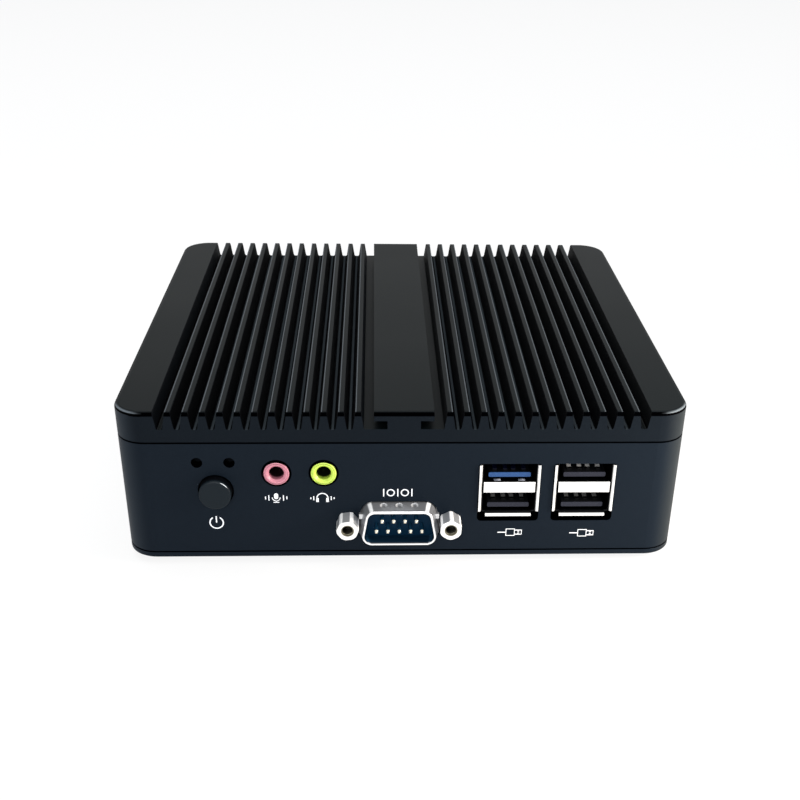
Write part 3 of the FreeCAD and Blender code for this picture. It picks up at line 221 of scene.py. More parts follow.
def buildStreakGroup():
    # drawn or turned metal: noise stretched along one way, given by the scale for each axis
    group, start, end = startGroup(
        "drawnStreaks",
        {"Colour": (0.8, 0.8, 0.8, 1), "Shade": (0.6, 0.6, 0.6, 1), "Scale": (200, 4000, 4000),
         "Rough Low": 0.2, "Rough High": 0.35},
        ("Colour", "Roughness", "Height"))
    place = addNode(group, "ShaderNodeTexCoord")
    stretch = addNode(group, "ShaderNodeVectorMath", operation="MULTIPLY")
    feed(group, stretch.inputs[0], place.outputs["Object"])
    feed(group, stretch.inputs[1], start["Scale"])
    noise = addNode(group, "ShaderNodeTexNoise")
    feedAll(group, noise, {"Vector": stretch.outputs[0], "Scale": 1, "Detail": 4})
    streak = noise.outputs["Fac"]
    feedAll(group, end, {
        "Colour": mixColour(group, streak, start["Colour"], start["Shade"]),
        "Roughness": spread(group, streak, start["Rough Low"], start["Rough High"]),
        "Height": streak})
    return group


def buildDepthLightGroup():
    # painted light and shade that change with depth: 0 out at the mouth and 1 further in, front or rear; both
    # are metres from the middle of the case
    group, start, end = startGroup("paintedDepthLight", {"From": 1, "To": 0}, ("Mask",))
    depth = unsigned(group, spotOf(group)["Y"])
    feed(group, end.inputs["Mask"], ramp(group, depth, start["From"], start["To"]))
    return group


# millimetres from the axis along the way a face looks; a face that looks in on the axis is below zero
insideLimits = (-0.05, -0.3)


def buildInsideGroup():
    # painted shade: 1 on faces that look in on an axis along Y, growing with depth;
    # two axes stand at Middle X plus and minus Reach
    group, start, end = startGroup(
        "insideShade", {"Middle X": 0, "Reach": 0, "Middle Z": 0, "From": 1, "To": 0}, ("Mask",))
    spot, facing = spotOf(group), facingOf(group)
    across = minus(group, spot["X"], start["Middle X"])
    side = compute(group, "SIGN", across)
    beyond = minus(group, unsigned(group, across), start["Reach"])
    sideways = times(group, beyond, times(group, facing["X"], side))
    upright = times(group, minus(group, spot["Z"], start["Middle Z"]), facing["Z"])
    inward = rampOver(group, compute(group, "ADD", sideways, upright), insideLimits)
    depth = ramp(group, unsigned(group, spot["Y"]), start["From"], start["To"])
    feed(group, end.inputs["Mask"], times(group, inward, depth))
    return group


# where the lid's painted light and shade fall
lidLook = {
    "tip": 0.1, "deep": 0.5, "floor": 3,                                 # millimetres down from the lid's top
    "railSide": 10.2, "bandSide": 56.5, "firstGap": 12.725, "pitch": 4,  # millimetres out from its middle
    "strip": (0.09, 0.05), "tipEdge": (-0.405, -0.335),                  # pitch shares from mid-valley
}


def buildLidGroup():
    # Masks for painted light and shade on the lid. Gap shade: painted deep between the fins. Line shade:
    # painted on the lower part of the rounded edge, and on the chamfer at the seam.
    # Top shade: faces that look up, painted darker against the sheen they catch. Corner highlight: painted
    # where the rounded edge turns a corner of the lid.
    # Floor light: painted on the strip along a valley. Edge highlight: painted on a fin's lit edge. Black and
    # Dull: metallic and rough shares that keep the painted shade black.
    group, start, end = startGroup(
        "lidLightPlaces",
        {"Tip Z": 0, "Deep Z": 0, "Floor Z": 0, "Rail Side": 0, "Band Side": 1, "Pitch": 1, "First Gap": 0},
        ("Gap", "Line", "Top", "Corner", "Floor", "Edge", "Black", "Dull"))
    spot, facing = spotOf(group), facingOf(group)
    across = unsigned(group, spot["X"])
    between = times(group, isAbove(group, across, start["Rail Side"]),
                    isBelow(group, across, start["Band Side"]))
    lengthwise = ramp(group, unsigned(group, facing["X"]), 0.04, 0.12)
    depth = ramp(group, spot["Z"], start["Tip Z"], start["Deep Z"])
    walls = larger(group, lengthwise, ramp(group, facing["Z"], 0.3, 0.6))
    gap = times(group, depth, times(group, between, walls))
    turns = compute(group, "DIVIDE", minus(group, across, start["First Gap"]), start["Pitch"])
    offset = minus(group, turns, compute(group, "ROUND", turns))
    strip = ramp(group, unsigned(group, offset), *lidLook["strip"])
    level = ramp(group, facing["Z"], 0.85, 0.95)
    low = isBelow(group, spot["Z"], start["Floor Z"])
    floor = times(group, times(group, low, times(group, level, strip)), between)
    edgeFrom, edgeTo = lidLook["tipEdge"]
    tipEdge = times(group, isAbove(group, offset, edgeFrom), isBelow(group, offset, edgeTo))
    tipTop = times(group, times(group, level, between), isAbove(group, spot["Z"], start["Tip Z"]))
    slope = times(group, ramp(group, facing["Z"], 0.06, 0.2), ramp(group, facing["Z"], 0.94, 0.84))
    line = larger(group, slope, ramp(group, facing["Z"], -0.2, -0.5))
    turned = unsigned(group, times(group, facing["X"], facing["Y"]))
    arc = times(group, ramp(group, facing["Z"], 0.5, 0.68), ramp(group, facing["Z"], 0.97, 0.9))
    corner = times(group, ramp(group, turned, 0.01, 0.22), arc)
    black = larger(group, minus(group, line, corner), 0.0)
    feedAll(group, end, {
        "Gap": gap, "Line": line, "Top": ramp(group, facing["Z"], 0.75, 0.97), "Corner": corner,
        "Floor": floor, "Edge": times(group, tipEdge, tipTop), "Black": black,
        "Dull": larger(group, black, gap)})
    return group


# millimetres: in from the panel's face, up from the floor, and out from the middle
openingLook = {"start": (0.02, 0.2), "deepest": 2.6, "lowest": 4.5, "highest": 33.0, "side": 66.5}


def buildOpeningGroup():
    # painted shade: 1 on the walls of the holes through the front and rear panels
    group, start, end = startGroup("panelHoleShade", {"Panel Y": 0.064}, ("Mask",))
    spot, facing = spotOf(group), facingOf(group)
    depth = minus(group, start["Panel Y"], unsigned(group, spot["Y"]))
    near = times(group, rampOver(group, depth, openingLook["start"]),
                 isBelow(group, depth, openingLook["deepest"] * mm))
    wall = isBelow(group, unsigned(group, facing["Y"]), 0.5)
    middle = isBelow(group, unsigned(group, spot["X"]), openingLook["side"] * mm)
    height = times(group, isAbove(group, spot["Z"], openingLook["lowest"] * mm),
                   isBelow(group, spot["Z"], openingLook["highest"] * mm))
    feed(group, end.inputs["Mask"], times(group, times(group, near, wall), times(group, middle, height)))
    return group


fineSkin = buildSkinGroup()
drawnStreaks = buildStreakGroup()
paintedDepthLight = buildDepthLightGroup()
insideShade = buildInsideGroup()
lidLightPlaces = buildLidGroup()
panelHoleShade = buildOpeningGroup()


# ---- finishes

fineBump = 0.00005  # metres that the usual grain is high


def startMaterial(name):
    material = bpy.data.materials.new(name)
    material.use_nodes = True
    return material, material.node_tree, material.node_tree.nodes["Principled BSDF"]


def placeGroup(tree, group, values):
    effect = addNode(tree, "ShaderNodeGroup", node_tree=group)
    feedAll(tree, effect, values)
    return effect.outputs


def startFinish(name, look, group, values, distance):
    # a material whose roughness and relief come from the group
    material, tree, shader = startMaterial(name)
    effect = placeGroup(tree, group, {
        "Colour": srgb(*look["colour"]), "Shade": srgb(*look["shade"]),
        "Rough Low": look["rough"][0], "Rough High": look["rough"][1], **values})
    bump = addNode(tree, "ShaderNodeBump")
    feedAll(tree, bump, {"Strength": look["bump"], "Distance": distance, "Height": effect["Height"]})
    feedAll(tree, shader, {"Normal": bump.outputs["Normal"], "Roughness": effect["Roughness"]})
    return material, tree, shader, effect


def layTouches(tree, shader, colour, look):
    for touch in look.get("touches", ()):
        colour = touch(tree, colour)
    feed(tree, shader.inputs["Base Color"], colour)


def skinMaterial(name, look):
    # anodised, painted, moulded or rubbery: colour and shade mix in a fine grain
    scales = {"Grain Scale": look["grainScale"], "Patch Scale": look["patchScale"]}
    material, tree, shader, effect = startFinish(
        name, look, fineSkin, scales, look.get("bumpDistance", fineBump))
    feedAll(tree, shader, {"Metallic": 0.0, "Specular IOR Level": look.get("specular", 0.5)})
    # where shade is painted, these metallic and rough shares keep it black
    if "paintedShadeBlack" in look:  # a dull metal without any colour gives nothing back
        black, dull = look["paintedShadeBlack"](tree)
        feedAll(tree, shader, {"Metallic": black, "Roughness": larger(tree, effect["Roughness"], dull)})
    layTouches(tree, shader, effect["Colour"], look)
    return material


def metalMaterial(name, look):
    # bare or plated metal with the streaks of its drawing or turning
    material, tree, shader, effect = startFinish(
        name, look, drawnStreaks, {"Scale": look["scale"]}, 2 * fineBump)
    metallic = look.get("metallic", 1.0)
    # less metallic where a highlight is painted, so that its pale colour shows
    if "paintedHighlight" in look:
        clear = minus(tree, 1.0, look["paintedHighlight"](tree))
        metallic = times(tree, clear, metallic)
    feed(tree, shader.inputs["Metallic"], metallic)
    layTouches(tree, shader, effect["Colour"], look)
    return material


# masks are functions of the tree; a touch lays one effect over a finish

def maskTouch(mask, colour):
    def touch(tree, base):
        return mixColour(tree, mask(tree), base, colour)
    return touch


def paintedDepthLightTouch(mouth, deep, colour):
    # paints light by depth, shade further in for most parts and a glint on the port contacts: turns to the
    # colour between two distances from the middle of the case, in millimetres
    def mask(tree):
        return placeGroup(tree, paintedDepthLight, {"From": mouth * mm, "To": deep * mm})["Mask"]
    return maskTouch(mask, colour)


def same(mask):
    # one mask for both the metallic and the rough share
    def both(tree):
        value = mask(tree)
        return value, value
    return both


def fromAxis(tree, middle, reach, height):
    # distance from the nearer of two axes along Y
    spot = spotOf(tree)
    across = minus(tree, unsigned(tree, minus(tree, spot["X"], middle)), reach)
    upward = minus(tree, spot["Z"], height)
    square = compute(tree, "ADD", times(tree, across, across), times(tree, upward, upward))
    return compute(tree, "SQRT", square)


def insideShadeMask(tree, middle, reach, height, limits):
    # painted shade: 0 to 1 on the inner walls of a hole, between two distances from the middle of the case in
    # millimetres
    return placeGroup(tree, insideShade, {
        "Middle X": middle, "Reach": reach, "Middle Z": height,
        "From": limits[0] * mm, "To": limits[1] * mm})["Mask"]


# millimetres: radii of a nose's edge and of its shadow on the panel, and distances from the case's middle
jackLook = {"nose": (2.3, 2.5), "setback": (64.2, 63.9), "bore": (63.3, 62.1), "shadow": (3.68, 3.5)}


def fromBore(tree, boreName):
    x, y, z = findMount(boreName)["pos_m"]
    return fromAxis(tree, x, 0.0, z)


def jackShadowRing(boreName):
    # painted shadow: 1 around a jack's nose, where it stands back in the panel's hole
    def mask(tree):
        outside = rampOver(tree, fromBore(tree, boreName), jackLook["nose"])
        behind = rampOver(tree, unsigned(tree, spotOf(tree)["Y"]), jackLook["setback"])
        upper = ramp(tree, facingOf(tree)["Z"], 0.6, 0.8)
        return times(tree, outside, larger(tree, behind, upper))
    return mask


def jackShadeTouch(boreName, colour):
    # painted shade down the bore and painted shadow around the nose
    def touch(tree, base):
        x, y, z = findMount(boreName)["pos_m"]
        inner = mixColour(tree, insideShadeMask(tree, x, 0.0, z, jackLook["bore"]), base, colour)
        return mixColour(tree, jackShadowRing(boreName)(tree), inner, srgb(1, 1, 2))
    return touch


# millimetres down from the top of the walls, and to either side of the cover's seam
caseLook = {"chamfer": (0.3, 0.15), "seam": (0.24, 0.16)}


def caseShade(tree):
    # painted shade: 1 on the walls of the panel's holes, on the chamfer under the lid, in the shadow round
    # each jack and along the seam of the cover
    spot, facing = spotOf(tree), facingOf(tree)
    low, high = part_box("body_frame")
    walls = placeGroup(tree, panelHoleShade, {"Panel Y": -low.y})["Mask"]
    slope = times(tree, ramp(tree, facing["Z"], 0.3, 0.5), ramp(tree, facing["Z"], 0.95, 0.85))
    begin, stop = caseLook["chamfer"]
    chamfer = times(tree, slope, ramp(tree, spot["Z"], high.z - begin * mm, high.z - stop * mm))
    rings = [rampOver(tree, fromBore(tree, name), jackLook["shadow"])
             for name in ("microphone_bore", "speaker_bore")]
    shadow = times(tree, larger(tree, *rings), isBelow(tree, spot["Y"], 0.0))
    seam = rampOver(tree, unsigned(tree, minus(tree, spot["Z"], low.z)), caseLook["seam"])
    return larger(tree, larger(tree, seam, walls), larger(tree, chamfer, shadow))


def placeLid(tree):
    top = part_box("lid_heatsink")[1].z
    return placeGroup(tree, lidLightPlaces, {
        "Tip Z": top - lidLook["tip"] * mm, "Deep Z": top - lidLook["deep"] * mm,
        "Floor Z": top - lidLook["floor"] * mm, "Rail Side": lidLook["railSide"] * mm,
        "Band Side": lidLook["bandSide"] * mm, "Pitch": lidLook["pitch"] * mm,
        "First Gap": lidLook["firstGap"] * mm})


# the metallic and rough shares that keep the lid's painted shade black
def lidShadeShares(tree):
    places = placeLid(tree)
    return places["Black"], places["Dull"]


def lidLightTouch(**colours):
    # painted light and shade: one colour for each place on the lid, laid over each other in the order given
    def touch(tree, base):
        places = placeLid(tree)
        for label, colour in colours.items():
            base = mixColour(tree, places[label], base, colour)
        return base
    return touch


def sideLightTouch(leftColour, rightColour):
    # painted light: the sides and the rounded corners of the case are painted paler than its front, standing
    # in for the light they catch
    def touch(tree, base):
        side = mixColour(tree, isBelow(tree, spotOf(tree)["X"], 0.0), rightColour, leftColour)
        sideways = unsigned(tree, facingOf(tree)["X"])
        return mixColour(tree, ramp(tree, sideways, 0.15, 0.95), base, side)
    return touch


def facingOut(begin, stop):
    # grows with how far a face looks towards the front or the rear
    def mask(tree):
        return ramp(tree, unsigned(tree, facingOf(tree)["Y"]), begin, stop)
    return mask


# painted highlight goes on faces that look out to the front or the rear
frontHighlightFaces = facingOut(0.35, 0.7)
# painted shade goes on the sides of the sheet
sheetSideShade = facingOut(0.65, 0.45)  # the sides of the sheet, which look along the panel


def inFront(tree):
    # 1 on the front half of the case
    return isBelow(tree, spotOf(tree)["Y"], 0.0)


serialLook = {
    "ends": (5.5, 6.5), "rim": 66.5, "inside": (67.6, 66.8), "screwHole": (68.5, 67.2),  # millimetres
    "screwMouth": (1.62, 1.52), "screwCorner": (2.62, 2.68),                             # radii
}
serialScrews = ("front_serial_screws", "rear_serial_screws")


def serialMiddle(tree):
    # the X of the serial port on the same side of the case
    front, rear = [pairOfScrews(name)[0] for name in serialScrews]
    return spread(tree, inFront(tree), rear, front)


def shoulderHighlightStrength(tree):
    # the painted highlight is weaker over the dimples in the middle than at the two ends
    away = unsigned(tree, minus(tree, spotOf(tree)["X"], serialMiddle(tree)))
    return spread(tree, rampOver(tree, away, serialLook["ends"]), 0.45, 1.0)


def shellShoulderHighlight(tree):
    # painted highlight on the two rounded upper corners of a serial shell
    facing = facingOf(tree)
    sideways = unsigned(tree, facing["X"])
    shoulder = times(tree, ramp(tree, sideways, 0.12, 0.25), ramp(tree, sideways, 0.6, 0.45))
    return times(tree, times(tree, shoulder, ramp(tree, facing["Z"], 0.2, 0.5)), shoulderHighlightStrength(tree))


def shellFrontHighlight(tree):
    # painted highlight on faces towards the front or rear, those of the flange less
    rim = isAbove(tree, unsigned(tree, spotOf(tree)["Y"]), serialLook["rim"] * mm)
    return times(tree, frontHighlightFaces(tree), spread(tree, rim, 0.6, 1.0))


def glintTouch(direction, colour):
    # a short gleam where the surface faces one way
    def mask(tree):
        match = addNode(tree, "ShaderNodeVectorMath", operation="DOT_PRODUCT")
        feed(tree, match.inputs[0], addNode(tree, "ShaderNodeTexCoord").outputs["Normal"])
        feed(tree, match.inputs[1], Vector(direction).normalized())
        return ramp(tree, match.outputs["Value"], 0.97, 0.992)
    return maskTouch(mask, colour)


def pinFlankShade(tree):
    # painted shade on the flanks of a round pin, away from the middle of its tip
    return ramp(tree, unsigned(tree, facingOf(tree)["X"]), 0.4, 0.7)


def inBluePort(tree):
    # the contacts above the blue tongue lie in its shade
    low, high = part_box("blue_port_insert")
    spot = spotOf(tree)
    return times(tree, isAbove(tree, spot["Z"], low.z), isBelow(tree, spot["X"], high.x))


def shadeBelowTouch(height, share):
    # painted shade: dimmer below a height in millimetres
    def mask(tree):
        return times(tree, isBelow(tree, spotOf(tree)["Z"], height * mm), share)
    return maskTouch(mask, paintedShade)


def onBothSerials(paint):
    # paints for the screws of the front and the rear port, each on its own half of the case
    def touch(tree, base):
        front, rear = [paint(tree, base, *pairOfScrews(name)) for name in serialScrews]
        return mixColour(tree, inFront(tree), rear, front)
    return touch


def paintInsideShade(tree, base, middle, reach, height):
    # painted navy shade inside the mouth of a shell
    mask = insideShadeMask(tree, middle, 0.0, height, serialLook["inside"])
    return mixColour(tree, mask, base, srgb(28, 66, 92))


def paintScrewHoleShade(tree, base, middle, reach, height):
    # painted shade down the threaded hole of each jackscrew, with painted light on its greyer mouth
    mouth = rampOver(tree, fromAxis(tree, middle, reach, height), serialLook["screwMouth"])
    lit = mixColour(tree, mouth, base, srgb(120, 116, 98))
    mask = insideShadeMask(tree, middle, reach, height, serialLook["screwHole"])
    return mixColour(tree, mask, lit, srgb(30, 29, 24))


def screwCorners(tree):
    # painted highlight where the hexagon's corners were turned off
    middle, reach, height = pairOfScrews("front_serial_screws")
    return rampOver(tree, fromAxis(tree, serialMiddle(tree), reach, height), serialLook["screwCorner"])


skinLooks = {
    "blackCase": {"colour": (18, 26, 34), "shade": (13, 20, 28), "grainScale": 2600, "patchScale": 22,
                  "rough": (0.42, 0.5), "bump": 0.12, "specular": 0.05,
                  # painted light on the sides, painted shade in the holes, under the lid, round the jacks and
                  # along the seam
                  "paintedShadeBlack": same(caseShade),
                  "touches": (sideLightTouch(srgb(34, 41, 48), srgb(32, 36, 38)),
                              maskTouch(caseShade, srgb(1, 2, 4)))},
    "blackLid": {"colour": (15, 22, 28), "shade": (11, 16, 22), "grainScale": 2600, "patchScale": 22,
                 "rough": (0.4, 0.48), "bump": 0.12, "specular": 0.05,
                 "paintedShadeBlack": lidShadeShares,
                 # painted light on the sides; on the lid, painted shade on tops against their sheen, on the
                 # rounded edge, the seam chamfer and between the fins, painted highlights on corners and fin
                 # edges, painted light on the valley floors
                 "touches": (sideLightTouch(srgb(34, 41, 48), srgb(32, 36, 38)),
                             lidLightTouch(Top=srgb(3, 8, 10), Line=srgb(1, 1, 2), Corner=srgb(94, 101, 106),
                                      Edge=srgb(70, 75, 79), Gap=srgb(1, 2, 4), Floor=srgb(46, 52, 56)))},
    "blackRubber": {"colour": (24, 24, 25), "shade": (16, 16, 17), "grainScale": 1800, "patchScale": 60,
                    "rough": (0.75, 0.9), "bump": 0.4, "bumpDistance": 0.0001},
    "buttonBlack": {"colour": (19, 27, 32), "shade": (15, 22, 28), "grainScale": 2400, "patchScale": 90,
                    "rough": (0.35, 0.45), "bump": 0.15, "specular": 0.12,
                    # painted shade on the button's sides back in its hole, and a painted glint on its rim
                    "touches": (paintedDepthLightTouch(65.9, 65.3, paintedShade),
                                glintTouch((0.46, -0.7, 0.55), srgb(205, 210, 214)))},
    "lampClear": {"colour": (16, 18, 22), "shade": (10, 12, 15), "grainScale": 900, "patchScale": 200,
                  "rough": (0.2, 0.3), "bump": 0.02, "specular": 0.05},
    "jackPink": {"colour": (196, 130, 144), "shade": (184, 116, 130), "grainScale": 900, "patchScale": 150,
                 "rough": (0.3, 0.4), "bump": 0.05,
                 # painted shade down the bore and a painted shadow round the nose
                 "paintedShadeBlack": same(jackShadowRing("microphone_bore")),
                 "touches": (jackShadeTouch("microphone_bore", srgb(20, 6, 10)),)},
    "jackLime": {"colour": (196, 220, 92), "shade": (180, 206, 74), "grainScale": 900, "patchScale": 150,
                 "rough": (0.3, 0.4), "bump": 0.05,
                 # painted shade down the bore and a painted shadow round the nose
                 "paintedShadeBlack": same(jackShadowRing("speaker_bore")),
                 "touches": (jackShadeTouch("speaker_bore", srgb(8, 14, 6)),)},
    "insertBlue": {"colour": (6, 42, 64), "shade": (3, 30, 50), "grainScale": 1500, "patchScale": 180,
                   "rough": (0.35, 0.5), "bump": 0.08, "specular": 0.1},
    "tongueBlue": {"colour": (40, 74, 122), "shade": (34, 65, 110), "grainScale": 1500, "patchScale": 180,
                   "rough": (0.35, 0.5), "bump": 0.08, "specular": 0.2,
                   # painted shade: the tongue darkens further into the port
                   "touches": (paintedDepthLightTouch(63.35, 63.1, paintedShade),)},
    "connectorBlack": {"colour": (22, 22, 24), "shade": (15, 15, 17), "grainScale": 1500, "patchScale": 180,
                       "rough": (0.4, 0.55), "bump": 0.1},
    "tongueGrey": {"colour": (34, 36, 47), "shade": (28, 30, 40), "grainScale": 1500, "patchScale": 180,
                   "rough": (0.45, 0.6), "bump": 0.1, "specular": 0.2,
                   # painted shade: the tongue darkens further into the port
                   "touches": (paintedDepthLightTouch(63.35, 63.1, paintedShade),)},
    "boardGreen": {"colour": (22, 78, 52), "shade": (14, 60, 40), "grainScale": 700, "patchScale": 240,
                   "rough": (0.35, 0.5), "bump": 0.2},
    "chipBlack": {"colour": (34, 34, 36), "shade": (24, 24, 26), "grainScale": 2200, "patchScale": 120,
                  "rough": (0.5, 0.65), "bump": 0.2},
    "padGrey": {"colour": (150, 154, 160), "shade": (128, 132, 138), "grainScale": 1400, "patchScale": 90,
                "rough": (0.7, 0.85), "bump": 0.3, "bumpDistance": 0.0001},
    "ribbonGrey": {"colour": (168, 170, 174), "shade": (140, 142, 148), "grainScale": 900, "patchScale": 60,
                   "rough": (0.5, 0.65), "bump": 0.1, "bumpDistance": 0.0001},
    "printWhite": {"colour": (240, 242, 244), "shade": (226, 229, 232), "grainScale": 2500, "patchScale": 150,
                   "rough": (0.5, 0.6), "bump": 0.1, "bumpDistance": 0.00002},
}

metalLooks = {
    "portShell": {"colour": (252, 251, 249), "shade": (240, 240, 238), "scale": (400, 3500, 3500),
                  "rough": (0.3, 0.38), "bump": 0.02, "metallic": 0.72,
                  # painted shade on the sheet's sides and further into the port
                  "touches": (maskTouch(sheetSideShade, paintedShade), paintedDepthLightTouch(64.33, 64.15, paintedShade))},
    "serialShell": {"colour": (170, 172, 175), "shade": (158, 160, 164), "scale": (400, 3500, 3500),
                    "rough": (0.3, 0.38), "bump": 0.02, "metallic": 0.72,
                    # painted highlights on the shoulders and front faces, with less metal under them, and
                    # painted shade inside the mouth
                    "paintedHighlight": shellShoulderHighlight,
                    "touches": (maskTouch(shellFrontHighlight, srgb(250, 250, 249)),
                                maskTouch(shellShoulderHighlight, srgb(246, 246, 245)), onBothSerials(paintInsideShade))},
    "nickelSheet": {"colour": (214, 214, 213), "shade": (200, 200, 199), "scale": (400, 3500, 3500),
                    "rough": (0.3, 0.38), "bump": 0.02, "metallic": 0.9},
    "turnedNickel": {"colour": (186, 188, 190), "shade": (172, 174, 177), "scale": (900, 4000, 900),
                     # painted highlights on the front faces and the turned corners, with less metal under
                     # them, and painted shade down the holes
                     "rough": (0.28, 0.36), "bump": 0.02, "metallic": 0.5, "paintedHighlight": screwCorners,
                     "touches": (maskTouch(frontHighlightFaces, srgb(250, 250, 248)),
                                 maskTouch(screwCorners, srgb(246, 246, 245)), onBothSerials(paintScrewHoleShade))},
    "threadSteel": {"colour": (150, 146, 128), "shade": (112, 108, 92), "scale": (900, 4000, 900),
                    "rough": (0.25, 0.34), "bump": 0.02, "metallic": 0.9,
                    # painted shade further down the hole
                    "touches": (paintedDepthLightTouch(68.3, 67.3, srgb(30, 29, 24)),)},
    "blackZinc": {"colour": (52, 52, 56), "shade": (36, 36, 40), "scale": (1200, 1200, 4000),
                  "rough": (0.3, 0.45), "bump": 0.08},
    "zincSteel": {"colour": (190, 194, 200), "shade": (160, 164, 172), "scale": (1200, 1200, 4000),
                  "rough": (0.28, 0.4), "bump": 0.08},
    "milledAluminium": {"colour": (205, 207, 210), "shade": (178, 181, 186), "scale": (300, 4200, 4200),
                        "rough": (0.3, 0.42), "bump": 0.1},
    "goldContact": {"colour": (232, 196, 120), "shade": (206, 168, 92), "scale": (3000, 500, 3000),
                    "rough": (0.2, 0.32), "bump": 0.04},
    # painted shade: the contacts are near black, with a painted glint where their bump rises, more painted
    # shade on the lower ones and blue-black shade in the blue port
    "tinnedLeaf": {"colour": (8, 8, 10), "shade": (6, 6, 8), "scale": (3000, 500, 3000),
                   "rough": (0.25, 0.36), "bump": 0.03, "metallic": 0.3,
                   "touches": (paintedDepthLightTouch(61.1, 60.95, srgb(196, 195, 194)), shadeBelowTouch(21, 0.75),
                               maskTouch(inBluePort, srgb(4, 8, 30)))},
    "tinnedPin": {"colour": (236, 230, 214), "shade": (214, 204, 182), "scale": (3000, 500, 3000),
                  "rough": (0.16, 0.28), "bump": 0.03, "metallic": 0.3,
                  # painted shade on the pins' flanks and further back towards the insert
                  "touches": (maskTouch(pinFlankShade, srgb(70, 96, 110)),
                              paintedDepthLightTouch(66.7, 66.3, srgb(26, 70, 98)))},
    "leafSteel": {"colour": (166, 170, 182), "shade": (144, 148, 160), "scale": (600, 3000, 3000),
                  "rough": (0.3, 0.4), "bump": 0.03, "metallic": 0.3},
    "springSteel": {"colour": (186, 188, 192), "shade": (150, 152, 158), "scale": (600, 3000, 3000),
                    "rough": (0.22, 0.34), "bump": 0.04},
    "capacitorCan": {"colour": (200, 202, 206), "shade": (176, 178, 184), "scale": (900, 900, 5000),
                     "rough": (0.25, 0.38), "bump": 0.05},
}

finishes = {}
for finishName, finishLook in skinLooks.items():
    finishes[finishName] = skinMaterial(finishName, finishLook)
for finishName, finishLook in metalLooks.items():
    finishes[finishName] = metalMaterial(finishName, finishLook)

nodeFinish = {
    "lid_heatsink": "blackLid", "body_frame": "blackCase", "bottom_cover": "blackCase",
    "rubber_feet": "blackRubber", "cover_screws": "blackZinc", "lid_screws": "blackZinc",
    "mounting_nuts": "zincSteel", "main_board": "boardGreen", "board_screws": "zincSteel",
    "processor": "chipBlack", "thermal_pad": "padGrey", "heat_block": "milledAluminium",
    "heat_block_screws": "zincSteel", "memory_module": "boardGreen", "memory_socket": "connectorBlack",
    "storage_card": "boardGreen", "storage_socket": "connectorBlack", "storage_standoff": "zincSteel",
    "storage_screw": "zincSteel", "clock_cell": "springSteel", "clock_cell_holder": "connectorBlack",
    "power_chokes": "chipBlack", "capacitors": "capacitorCan", "indicator_lamps": "lampClear",
    "button_cap": "buttonBlack", "switch_plunger": "padGrey", "switch_housing": "connectorBlack",
    "button_spring": "springSteel", "microphone_jack": "jackPink", "speaker_jack": "jackLime",
    "jack_springs": "springSteel", "serial_lock_nuts": "zincSteel",
    "left_port_shell": "portShell", "right_port_shell": "portShell", "blue_port_insert": "tongueBlue",
    "dark_port_inserts": "tongueGrey", "port_middle_shields": "portShell", "port_contacts": "tinnedLeaf",
    "power_inlet": "connectorBlack", "power_inlet_pin": "tinnedPin", "power_inlet_leaf": "springSteel",
    "video_port_shell": "nickelSheet", "video_port_insert": "connectorBlack",
    "network_port_shells": "nickelSheet", "network_port_inserts": "connectorBlack",
    "network_contacts": "goldContact",
}
for side in ("front", "rear"):
    nodeFinish.update({
        side + "_serial_shell": "serialShell", side + "_serial_insert": "insertBlue",
        side + "_serial_pins": "tinnedPin", side + "_serial_jackscrews": "turnedNickel",
        side + "_serial_cable": "ribbonGrey", side + "_serial_header": "connectorBlack"})

for nodeName, node in nodes.items():
    node.data.materials.clear()
    node.data.materials.append(finishes[nodeFinish[nodeName]])
print("finishes:", len(finishes), "materials on", len(nodeFinish), "nodes")


# ---- flat print on the front panel

def stripMesh(mesh, line, width, closed=False):
    # a flat band of one width along a line of points in X and Z; the mesh lies at y = 0
    count = len(line)
    rails = ([], [])
    for index, (x, z) in enumerate(line):
        before = line[index - 1] if index > 0 or closed else line[index]
        after = line[(index + 1) % count] if index < count - 1 or closed else line[index]
        along = Vector((after[0] - before[0], after[1] - before[1])).normalized()
        for rail, side in zip(rails, (-1, 1)):
            rail.append(mesh.verts.new((x - side * along.y * width / 2, 0, z + side * along.x * width / 2)))
    for index in range(count if closed else count - 1):
        following = (index + 1) % count
        mesh.faces.new((rails[0][index], rails[0][following], rails[1][following], rails[1][index]))


def arcPoints(centre, radius, start, stop, steps):
    # start and stop in degrees from +X, turning towards +Z
    points = []
    for step in range(steps + 1):
        turn = math.radians(start + (stop - start) * step / steps)
        points.append((centre[0] + radius * math.cos(turn), centre[1] + radius * math.sin(turn)))
    return points


def boxOutline(centre, width, height):
    x, z = centre
    return [(x - width / 2, z - height / 2), (x + width / 2, z - height / 2),
            (x + width / 2, z + height / 2), (x - width / 2, z + height / 2)]


def finishPrint(mesh, name, place):
    # gives the flat drawing the thickness of ink and sets it on the panel; place and drawing in millimetres
    sheet = bmesh.ops.extrude_face_region(mesh, geom=mesh.faces[:])
    moved = [part for part in sheet["geom"] if isinstance(part, bmesh.types.BMVert)]
    bmesh.ops.translate(mesh, verts=moved, vec=(0, -printLook["thickness"] - printLook["sunk"], 0))
    bmesh.ops.transform(mesh, verts=mesh.verts, matrix=Matrix.Scale(mm, 4))
    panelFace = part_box("body_frame")[0].y
    bmesh.ops.translate(mesh, verts=mesh.verts,
                        vec=(place[0] * mm, panelFace + printLook["sunk"] * mm, place[1] * mm))
    bmesh.ops.recalc_face_normals(mesh, faces=mesh.faces)
    data = bpy.data.meshes.new(name)
    mesh.to_mesh(data)
    mesh.free()
    data.materials.append(finishes["printWhite"])
    drawing = addObject(name, data)
    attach(drawing, "case")
    return drawing


